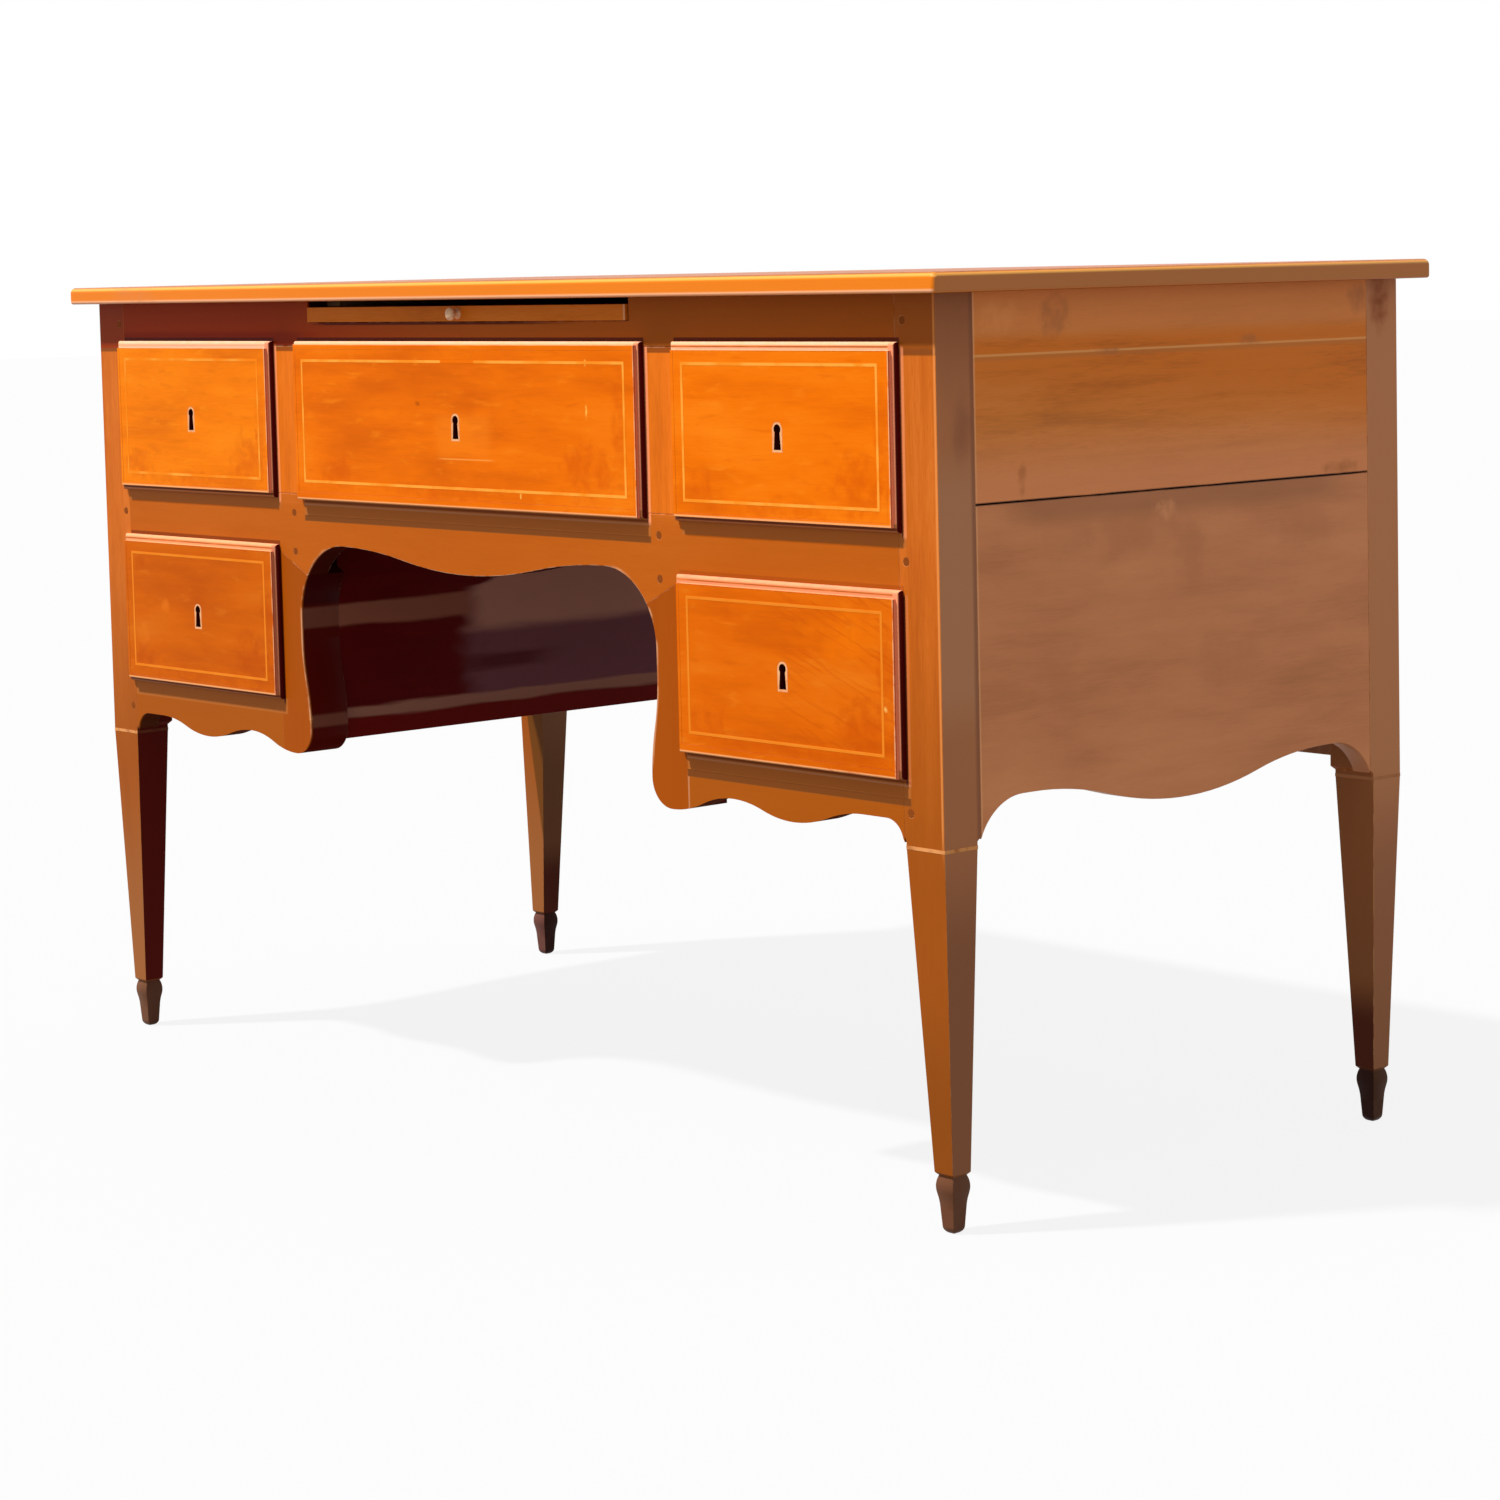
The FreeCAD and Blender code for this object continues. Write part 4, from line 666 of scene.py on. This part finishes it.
# Each drawer's own veneer tone; the lower drawers are darker, as painted shade towards the floor.
FACE_TONE = dict(zip(DRAWERS, ((0.91, 0.204, 0.0020), (0.64, 0.118, 0.001), (0.85, 0.162, 0.0005),
                               (0.88, 0.172, 0.0005), (0.745, 0.135, 0.0005))))
# Painted highlight tones for the lit top of each lip and its up-facing faces, less bright on the lower
# drawers.
LIP_HIGHLIGHT = dict(zip(DRAWERS, ((0.95, 0.55, 0.34), (0.86, 0.38, 0.19), (0.95, 0.55, 0.34),
                              (0.95, 0.55, 0.34), (0.80, 0.31, 0.17))))
# Painted sheen on the shaded right side of each lip: its tone, and how far each drawer's is dimmed.
SIDE_SHADE = dict(zip(DRAWERS, (0.85, 0.62, 0.80, 0.95, 0.95)))
LIP_SIDE = (0.98, 0.335, 0.170)
FRONT_TONE = {
    "upper lip": (0.86, 0.27, 0.07), "lip line": (0.36, 0.07, 0.02), "lower lip": (0.48, 0.165, 0.052),
    "foot line": (0.14, 0.018, 0.005), "side arris": (0.98, 0.56, 0.30), "foot arris": (0.97, 0.48, 0.20),
    "side root": (0.42, 0.045, 0.002), "side edge": (0.065, 0.002, 0.001), "under": (0.30, 0.095, 0.036),
    "nick": (1.0, 0.60, 0.10), "bruise": (0.30, 0.05, 0.002), "lightened": (0.94, 0.24, 0.012),
    "scratch": (1.0, 0.40, 0.08), "right nick": (1.0, 0.60, 0.15), "lit corner": (0.90, 0.190, 0.001),
}
STAINS = ((0.14, 0.20, 0.030, 0.016, 0.7), (0.86, 0.24, 0.040, 0.030, 0.75), (0.95, 0.50, 0.012, 0.05, 0.6),
          (0.48, 0.10, 0.10, 0.008, 0.6))
CENTRE_NICKS = ((0.192, 0.706, 0.004), (0.192, 0.664, 0.008), (0.0953, 0.586, 0.004))
FIELD_FRONT = -0.2964
FIELD_START = -0.2957
LIP_END = -0.2947
FIELD_INSET = 0.007
MARGIN_LAP = 0.0006
MARGIN_PROUD = 0.00005
MARGIN_SIDE = 0.003
MARGIN_TOP = dict(zip(DRAWERS, (0.0, 0.0, 0.004, 0.0, 0.0)))
MARGIN_FOOT = dict(zip(DRAWERS, (0.0022, 0.0030, 0.0065, 0.0028, 0.0065)))
margin_profile = np.array([[0.0, 0.0033], [1.0, 0.0033], [1.0, 0.0005], [0.88, 0.0], [0.0, 0.0]])


def on_face(low, high, across, up):
    """The point of a drawer front at shares of its width and height."""
    return low.x + (high.x - low.x) * across, 0.0, low.z + (high.z - low.z) * up


def face_hoop(low, high, inset, depth, reach, profile):
    """A hoop on a drawer front's outline, drawn in by an inset and set at a depth: the profile's first
    number goes outwards, in shares of the reach at each corner, and its second goes back."""
    middle = np.array([(low.x + high.x) / 2.0, (low.z + high.z) / 2.0])
    half = np.array([high.x - low.x, high.z - low.z]) / 2.0 - inset
    flat = middle + SIGNS * half
    corners = np.column_stack([flat[:, 0], np.full(4, depth), flat[:, 1]])
    axes = np.zeros((4, 3, 2))
    axes[:, [0, 2], 0] = SIGNS * reach
    axes[:, 1, 1] = 1.0
    return hoop(corners, axes, profile)


for number, drawer in enumerate(DRAWERS):
    low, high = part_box(drawer + "_drawer_front")
    red, green, blue = FACE_TONE[drawer]
    veneer_tones = ((red * 0.78, green * 0.68, blue), (red, green, blue),
                    (min(red * 1.06, 0.97), green * 1.30, blue + 0.005))
    leaf = (0.37 * number, 0.2, 0.31 * number)
    face = wood(drawer + "_veneer", "X", veneer_tones, leaf, cloudy=0.9, banded=0.26, fibrous=0.16)
    flecks = face.noise((4.0, 1.0, 1.0), size=0.009, detail=3.0, shift=(0.5 * number, 0.0, 0.2))
    pale_fleck = (min(red * 1.06, 0.98), green * 1.45, blue + 0.008)
    face.coat(pale_fleck, face.step(flecks, 0.56, 0.78) * 0.55)
    face.coat((red * 0.84, green * 0.74, blue), face.step(flecks, 0.44, 0.24) * 0.55)
    for across, up, wide, tall, share in STAINS:
        stain = (red * 0.80, green * 0.62, blue)
        face.patch(on_face(low, high, across, up), (wide, None, tall), stain, share=share, grain=0.012)

    field_foot = low.z + FIELD_INSET - MARGIN_FOOT[drawer]
    field_edge = high.x - FIELD_INSET + MARGIN_SIDE
    lip = face.step(face.y, FIELD_START, LIP_END)
    field = face.step(face.y, LIP_END, FIELD_START)
    breaks = face.noise((3.0, 1.0, 1.0), size=0.02, detail=3.0, shift=(0.2 * number, 0.0, 0.0))
    broken = face.step(breaks, 0.30, 0.55)
    lip_highlight = LIP_HIGHLIGHT[drawer]
    lip_side = tuple(tone * SIDE_SHADE[drawer] for tone in LIP_SIDE)
    face.coat(FRONT_TONE["upper lip"], lip * face.step(face.z, high.z - 0.0085, high.z - 0.0065) * 0.8)
    # Painted highlights: pale lines along the lip's upper arrises.
    face.coat(lip_highlight, lip * face.step(face.z, high.z - 0.0034, high.z - 0.0024) * 0.85)
    face.coat(lip_highlight, lip * face.spot(face.z, high.z - 0.0062, 0.0009, 0.0008) * 0.8)
    # Painted shade: a dark line between the lip's highlight lines.
    lip_line = face.spot(face.z, high.z - 0.0040, 0.0002, 0.0006)
    face.coat(FRONT_TONE["lip line"], lip * lip_line * broken * 0.8)
    if drawer == "left_top":
        face.coat(lip_highlight, lip * face.step(face.z, high.z - 0.0074, high.z - 0.0068) * 0.7)
    # Painted sheen on the lip's right strip.
    face.coat(lip_side, lip * face.step(face.x, high.x - 0.0085, high.x - 0.0065) * 0.95)
    # Painted shade: the lip's lower strip darkened brown, and a dark line under the field's foot.
    face.coat(FRONT_TONE["lower lip"], lip * face.step(face.z, low.z + 0.0085, low.z + 0.0065) * 0.95)
    face.coat(FRONT_TONE["foot line"], lip * face.spot(face.z, field_foot - 0.0012, 0.0009, 0.0006) * 0.85)
    # Painted highlights: pale lines on the field's right and lower arrises.
    side_arris = face.spot(face.x, field_edge - 0.0007, 0.0004, 0.0006)
    face.coat(FRONT_TONE["side arris"], field * side_arris * broken * 0.7)
    face.coat(FRONT_TONE["foot arris"], field * face.spot(face.z, field_foot + 0.0009, 0.0006, 0.0009) * 0.7)
    # Painted highlight on the faces that look up.
    face.coat(lip_highlight, face.step(face.facing_z, 0.5, 0.95) * 0.5)
    # The lip's right side face: painted sheen, with painted shade near the field and near black at its outer
    # edge.
    right_side = face.step(face.facing_x, 0.45, 0.9) * face.step(face.y, FRAME_FRONT, FRAME_FRONT - 0.0010)
    face.coat(lip_side, right_side * 0.95)
    face.coat(FRONT_TONE["side root"], right_side * face.step(face.y, -0.2952, -0.2958) * 0.9)
    side_edge = face.step(face.facing_x, 0.35, 0.7) * face.step(face.x, high.x - 0.003, high.x - 0.002)
    face.coat(FRONT_TONE["side edge"], side_edge)
    # Painted shade on the faces that look down.
    face.coat(FRONT_TONE["under"], face.step(face.facing_z, -0.5, -0.95) * 0.8)

    if drawer == "centre":
        for at_x, at_z, tall in CENTRE_NICKS:
            face.patch((at_x, 0.0, at_z), (0.0016, None, tall), FRONT_TONE["nick"], share=0.8, grain=0.004)
        face.patch((-0.0576, 0.0, 0.667), (0.004, None, 0.003), FRONT_TONE["bruise"], share=0.8, grain=0.004)
        lightened = face.spot(face.x, 0.012, 0.030, 0.020) * face.spot(face.z, 0.638, 0.014, 0.010)
        face.coat(FRONT_TONE["lightened"], lightened * 0.3)
        scratch = face.spot(face.x, 0.015, 0.032, 0.015) * face.spot(face.z, 0.6165, 0.0003, 0.0008)
        face.coat(FRONT_TONE["scratch"], scratch * 0.5)
    if drawer == "left_lower":
        dull_spot = (red * 0.72, green * 0.58, blue)
        bright_spot = (min(red * 1.25, 0.98), green * 1.6, 0.01)
        broad_spot = (min(red * 1.2, 0.98), green * 1.5, 0.01)
        face.patch(on_face(low, high, 0.12, 0.81), (0.012, None, 0.009), dull_spot, share=0.6, grain=0.012)
        face.patch(on_face(low, high, 0.28, 0.53), (0.009, None, 0.009), bright_spot, share=0.6, grain=0.012)
        face.patch(on_face(low, high, 0.13, 0.33), (0.014, None, 0.014), broad_spot, share=0.6, grain=0.012)
    if drawer == "right_lower":
        nick = (0.5665, 0.0, 0.428)
        face.patch(nick, (0.003, None, 0.003), FRONT_TONE["right nick"], share=0.8, grain=0.004)
        face.patch((0.520, 0.0, 0.488), (0.055, None, 0.024), FRONT_TONE["lit corner"], share=0.6, grain=0.03)
        down_grain = (face.x * 0.93 - face.z * 0.36) * 18.0
        over_grain = (face.x * 0.36 + face.z * 0.93) * 190.0
        slant = face.node("ShaderNodeCombineXYZ", sockets=(down_grain, 0.0, over_grain))
        ripple = {"Vector": slant, "Scale": 1.0, "Detail": 2.0, "Distortion": 0.8}
        waves = face.step(face.node("ShaderNodeTexNoise", sockets=ripple), 0.52, 0.70)
        face.coat((red * 0.80, green * 0.64, blue), field * waves * face.step(face.x, 0.42, 0.47) * 0.5)
    above_foot = face.step(face.z, low.z + 0.004, low.z + 0.008)
    arris(face, WORN, face.step(face.facing_x, 0.45, 0.15) * above_foot * 0.3)
    ease([drawer + "_drawer_front"], width=0.0004)
    veneer = face.close(rough=0.38, bump=face.fibre, height=0.00006, Specular_IOR_Level=0.03)
    finish_nodes([drawer + "_drawer_front"], veneer)

    foot_or_top = np.where(SIGNS[:, 1] > 0.0, MARGIN_TOP[drawer], MARGIN_FOOT[drawer])
    margin_reach = np.column_stack([np.full(4, MARGIN_SIDE), foot_or_top]) + MARGIN_LAP
    points, faces = face_hoop(low, high, FIELD_INSET + MARGIN_LAP, FIELD_FRONT - MARGIN_PROUD, margin_reach,
                              margin_profile)
    new_piece(drawer + "_field_margin", points, faces, veneer, drawer + "_drawer")


# String inlay
# A single line of boxwood let into each drawer front, parallel to the lip and scraped
# level with the veneer.

STRING_INSET = 0.0185
STRING_HALF = 0.0013
STRING_PROUD = 0.00012
STRING_ROOT = 0.0003
STRING_TONE = {"pale": (0.98, 0.37, 0.045), "aged": (0.92, 0.27, 0.016), "lower": (0.80, 0.200, 0.010),
               "faded": (0.93, 0.230, 0.006), "worn away": (0.85, 0.162, 0.0005)}
string = Finish("string_boxwood")
aged = string.step(string.noise(EVEN, size=0.03, detail=3.0), 0.40, 0.65)
string.colour = string.mix(STRING_TONE["pale"], STRING_TONE["aged"], aged)
faded = string.step(string.noise(EVEN, size=0.05), 0.35, 0.60)
left_top = string.step(string.x, -0.29, -0.31) * string.step(string.z, 0.54, 0.56)
worn_away = string.spot(string.x, 0.005, 0.024, 0.003) * string.step(string.z, 0.69, 0.70)
# Painted shade: the strings of the lower drawers are darker.
string.coat(STRING_TONE["lower"], string.step(string.z, 0.56, 0.54) * 0.8)
string.coat(STRING_TONE["faded"], left_top * faded)
string.coat(STRING_TONE["worn away"], worn_away)
string_inlay = string.close(rough=0.45, Specular_IOR_Level=0.03)
string_profile = np.array([[-1.0, STRING_ROOT], [1.0, STRING_ROOT],
                           [1.0, -STRING_PROUD], [-1.0, -STRING_PROUD]])
for drawer in DRAWERS:
    low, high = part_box(drawer + "_drawer_front")
    points, faces = face_hoop(low, high, STRING_INSET, FIELD_FRONT, STRING_HALF, string_profile)
    new_piece(drawer + "_string_inlay", points, faces, string_inlay, drawer + "_drawer")


# Keyhole liners
# Pale bone-like boxwood liners, cut to the keyholes and pressed into them from the front;
# their insides are painted near black as shade.

liner = boxwood("liner_boxwood_pale", (0.88, 0.43, 0.20), (0.80, 0.30, 0.12), size=0.006)
# Painted shade: the liner's walls inside the keyhole, behind the front, are near black.
liner.coat((0.060, 0.003, 0.003), liner.step(liner.y, -0.2963, -0.2958))
pale_liner = liner.close(rough=0.5, Specular_IOR_Level=0.1)
finish_nodes([drawer + "_drawer_escutcheon" for drawer in DRAWERS], pale_liner)


# Drawer locks
# Blackened iron locks let into the backs of the fronts, each with a bolt that rises
# to the rail.

lock = Finish("lock_iron_black")
rust = lock.step(lock.noise(EVEN, size=0.006, detail=4.0), 0.5, 0.75)
lock.colour = lock.mix((0.020, 0.018, 0.017), (0.075, 0.045, 0.030), rust)
pits = lock.noise(EVEN, size=0.002, detail=3.0)
lock_iron = lock.close(rough=0.5, bump=pits, height=0.0002, Metallic=0.8)
finish_nodes([drawer + "_drawer_lock" for drawer in DRAWERS], lock_iron)


# Drawer boxes
# Dovetailed sides of plain pine with the backs housed between them and bottoms run in
# grooves from behind; unfinished and mellow with age.

LONG_PINE = ((0.36, 0.19, 0.08), (0.52, 0.31, 0.14), (0.62, 0.40, 0.20))
CROSS_PINE = ((0.34, 0.18, 0.08), (0.50, 0.30, 0.14), (0.60, 0.39, 0.20))
long_names = [drawer + "_drawer_sides" for drawer in DRAWERS]
cross_names = [drawer + "_drawer_" + part for drawer in DRAWERS for part in ("back", "bottom")]
for names, finish, along, tones, shift in (
        (long_names, "drawer_side_pine", "Y", LONG_PINE, (0.2, 0.6, 0.1)),
        (cross_names, "drawer_cross_pine", "X", CROSS_PINE, (0.5, 0.1, 0.6))):
    pine = wood(finish, along, tones, shift)
    ease(names, width=0.0005)
    finish_nodes(names, pine.close(rough=0.65, bump=pine.fibre, height=0.0002, Specular_IOR_Level=0.2))


# Writing slide
# A plain walnut board that draws out above the middle drawer, its front edge level with
# the top rail.

SLIDE_WALNUT = ((0.48, 0.110, 0.006), (0.66, 0.165, 0.010), (0.74, 0.21, 0.025))
SLIDE_END = (0.80, 0.46, 0.27)
slide = wood("slide_walnut", "X", SLIDE_WALNUT, (0.8, 0.3, 0.5))
arris(slide, WORN, 0.5)
right_end = slide.step(slide.x, slide_high.x - 0.0028, slide_high.x - 0.0020)
slide.coat(SLIDE_END, slide.step(slide.facing_y, -0.5, -0.9) * right_end * 0.6)
ease(["writing_slide"], width=0.0006)
slide_finish = slide.close(rough=0.42, bump=slide.fibre, height=0.0001, Specular_IOR_Level=0.05)
finish_nodes(["writing_slide"], slide_finish)


# Slide knob
# A small turned knob with a waist and a domed face, screwed into the middle of the
# slide's front edge and rubbed pale by fingers.

KNOB_MIDDLE = 0.7498
KNOB_STEPS = 40
DOME_BASE = -0.2990
DOME_HEIGHT = 0.0029
KNOB_RADIUS = 0.0059


def turned(profile, steps, height):
    """Turn a profile about a level line that runs back: point (i, j) is radius i at angle j round the line.

    profile is (n, 2) of distance along Y and radius; the first and last radius are 0.
    """
    angle = np.linspace(0.0, 2.0 * np.pi, steps, endpoint=False)
    along, radius = profile[1:-1].T
    rings = np.stack([radius[:, None] * np.cos(angle), np.repeat(along[:, None], steps, 1),
                      height + radius[:, None] * np.sin(angle)], -1)
    tips = np.array([[0.0, profile[0, 0], height], [0.0, profile[-1, 0], height]])
    n = len(radius)
    i, j = np.meshgrid(np.arange(n - 1), np.arange(steps), indexing="ij")
    k = (j + 1) % steps
    walls = np.stack([i * steps + j, i * steps + k, (i + 1) * steps + k, (i + 1) * steps + j], -1)
    j = np.arange(steps)
    k = (j + 1) % steps
    front = np.column_stack([k, j, np.full(steps, n * steps)])
    back = np.column_stack([(n - 1) * steps + j, (n - 1) * steps + k, np.full(steps, n * steps + 1)])
    faces = walls.reshape(-1, 4).tolist() + front.tolist() + back.tolist()
    return np.vstack([rings.reshape(-1, 3), tips]), faces


quarter = np.linspace(0.0, np.pi / 2.0, 9)
dome = np.column_stack([DOME_BASE - DOME_HEIGHT * np.cos(quarter), KNOB_RADIUS * np.sin(quarter)])
waist_and_stem = [[-0.2975, KNOB_RADIUS], [-0.2966, 0.0053], [-0.2955, 0.0040], [-0.2940, 0.0032],
                  [-0.2925, 0.0034], [-0.2910, 0.0046], [-0.2902, 0.0050], [-0.2899, 0.0050],
                  [-0.2898, 0.0026], [-0.2762, 0.0024], [-0.2762, 0.0]]
points, faces = turned(np.vstack([dome, waist_and_stem]), KNOB_STEPS, KNOB_MIDDLE)
rubbed_knob = boxwood("knob_worn", (0.80, 0.49, 0.28), (0.54, 0.28, 0.14), size=0.004)
knob_finish = rubbed_knob.close(rough=0.4, Specular_IOR_Level=0.3)
knob = new_piece("turned_slide_knob", points, faces, knob_finish, "writing_slide")
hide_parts("slide_knob")


# Top
# A walnut board with rounded arrises that oversails the frame all round; years of
# polish have left its front edge bright and its corners rubbed pale, with painted highlights along its upper
# and lower arrises.

TOP_WALNUT = ((0.26, 0.060, 0.006), (0.38, 0.098, 0.010), (0.46, 0.135, 0.020))
TOP_TONE = {"edge": (0.90, 0.222, 0.004), "end": (0.52, 0.19, 0.055), "upper arris": (0.98, 0.50, 0.10),
            "lower arris": (1.0, 0.50, 0.26), "corner": (0.75, 0.22, 0.05)}
top = wood("top_walnut", "X", TOP_WALNUT, (0.15, 0.45, 0.0), cloudy=0.6)
edge = top.step(abs(top.facing_z), 0.9, 0.6)
lower_line = top.step(top.facing_y, -0.5, -0.9) * top.step(top.z, 0.7672, 0.7655)
top.coat(TOP_TONE["edge"], edge * 0.9)
top.coat(TOP_TONE["end"], top.step(abs(top.facing_x), 0.6, 0.95) * 0.9)
# Painted highlights: a pale line on the upper arris of the edge, and another along the lower arris at the
# front.
top.coat(TOP_TONE["upper arris"], edge * top.step(top.facing_z, 0.15, 0.45) * 0.6)
top.coat(TOP_TONE["lower arris"], lower_line * 0.8)
top.patch((-0.52, -0.31, 0.772), (0.05, 0.006, 0.012), TOP_TONE["corner"], share=0.6)
ease(["desk_top"], width=0.0004)
finish_nodes(["desk_top"], top.close(rough=0.36, bump=top.fibre, height=0.0001, Specular_IOR_Level=0.15))


# Floor, light and camera
# A plain pale floor that runs to white, a soft key light high on the left and an even
# fill, seen from the right-hand corner at the height of the top.

FILL = 0.5
KEY = 4.46
KEY_TRAVEL = Vector((0.6, 1.0, -2.0))
KEY_SPREAD = math.radians(3.0)
WHITE = (1.0, 1.0, 1.0, 1.0)
BOUNCE_GREY = (0.25, 0.25, 0.25, 1.0)
SHADE_GREY = (0.49, 0.49, 0.49, 1.0)
SHADE_SHARE = 0.13
FLOOR_HALF = 30.0
floor_mesh = bpy.data.meshes.new("floor")
floor_mesh.from_pydata([(-FLOOR_HALF, -FLOOR_HALF, 0.0), (FLOOR_HALF, -FLOOR_HALF, 0.0),
                        (FLOOR_HALF, FLOOR_HALF, 0.0), (-FLOOR_HALF, FLOOR_HALF, 0.0)], [], [(0, 1, 2, 3)])
floor = bpy.data.objects.new("floor", floor_mesh)
bpy.context.scene.collection.objects.link(floor)
floor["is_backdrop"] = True
floor_paint = bpy.data.materials.new("floor_paint")
floor_paint.use_nodes = True
floor_mesh.materials.append(floor_paint)


def seen_directly(tree):
    """1 for rays from the camera, from gloss or through glass, and 0 for light that bounces."""
    path = tree.nodes.new("ShaderNodeLightPath")
    total = path.outputs["Is Camera Ray"]
    for name in ("Is Glossy Ray", "Is Transmission Ray"):
        add = tree.nodes.new("ShaderNodeMath")
        add.use_clamp = True
        tree.links.new(total, add.inputs[0])
        tree.links.new(path.outputs[name], add.inputs[1])
        total = add.outputs[0]
    return total


def choose_shader(tree, bounced, seen, out):
    """Send one shader to light that bounces and another to what is seen directly."""
    choose = tree.nodes.new("ShaderNodeMixShader")
    tree.links.new(seen_directly(tree), choose.inputs[0])
    tree.links.new(bounced.outputs[0], choose.inputs[1])
    tree.links.new(seen.outputs[0], choose.inputs[2])
    tree.links.new(choose.outputs[0], out.inputs["Surface"])


tree = floor_paint.node_tree
tree.nodes.clear()
out = tree.nodes.new("ShaderNodeOutputMaterial")
bounce = tree.nodes.new("ShaderNodeBsdfDiffuse")
bounce.inputs["Color"].default_value = BOUNCE_GREY
shade = tree.nodes.new("ShaderNodeBsdfDiffuse")
shade.inputs["Color"].default_value = SHADE_GREY
white = tree.nodes.new("ShaderNodeEmission")
pale_floor = tree.nodes.new("ShaderNodeMixShader")
pale_floor.inputs[0].default_value = SHADE_SHARE
tree.links.new(white.outputs[0], pale_floor.inputs[1])
tree.links.new(shade.outputs[0], pale_floor.inputs[2])
choose_shader(tree, bounce, pale_floor, out)

world = bpy.data.worlds.new("studio")
bpy.context.scene.world = world
world.use_nodes = True
tree = world.node_tree
tree.nodes.clear()
out = tree.nodes.new("ShaderNodeOutputWorld")
fill = tree.nodes.new("ShaderNodeBackground")
fill.inputs["Strength"].default_value = FILL
backdrop = tree.nodes.new("ShaderNodeBackground")
for ground in (fill, backdrop):
    ground.inputs["Color"].default_value = WHITE
choose_shader(tree, fill, backdrop, out)

key = bpy.data.objects.new("key", bpy.data.lights.new("key", "SUN"))
key.data.energy = KEY
key.data.angle = KEY_SPREAD
key.rotation_euler = KEY_TRAVEL.to_track_quat("-Z", "Y").to_euler()
bpy.context.scene.collection.objects.link(key)

FRAME_PIXELS = 1500.0
FOCAL_PIXELS = 3666.5
SENSOR_WIDTH = 36.0
CAMERA_PLACE = (2.70249, -2.31963, 0.78955)
CAMERA_TURN = 0.84883
CAMERA_DIP = 0.08340
CAMERA_ROLL = -0.02306
CAMERA_SHIFT = -0.12
ahead = Vector((-math.sin(CAMERA_TURN) * math.cos(CAMERA_DIP), math.cos(CAMERA_TURN) * math.cos(CAMERA_DIP),
                -math.sin(CAMERA_DIP)))
level = ahead.cross(Vector((0.0, 0.0, 1.0))).normalized()
upright = level.cross(ahead)
right = level * math.cos(CAMERA_ROLL) + upright * math.sin(CAMERA_ROLL)
up = upright * math.cos(CAMERA_ROLL) - level * math.sin(CAMERA_ROLL)
camera = bpy.data.objects.new("camera", bpy.data.cameras.new("camera"))
camera.matrix_world = Matrix.Translation(CAMERA_PLACE) @ Matrix((right, up, -ahead)).transposed().to_4x4()
camera.data.sensor_width = SENSOR_WIDTH
camera.data.lens = FOCAL_PIXELS / FRAME_PIXELS * SENSOR_WIDTH
camera.data.shift_y = CAMERA_SHIFT
bpy.context.scene.collection.objects.link(camera)
bpy.context.scene.camera = camera
bpy.context.scene.view_settings.view_transform = "Standard"

low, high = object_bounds()
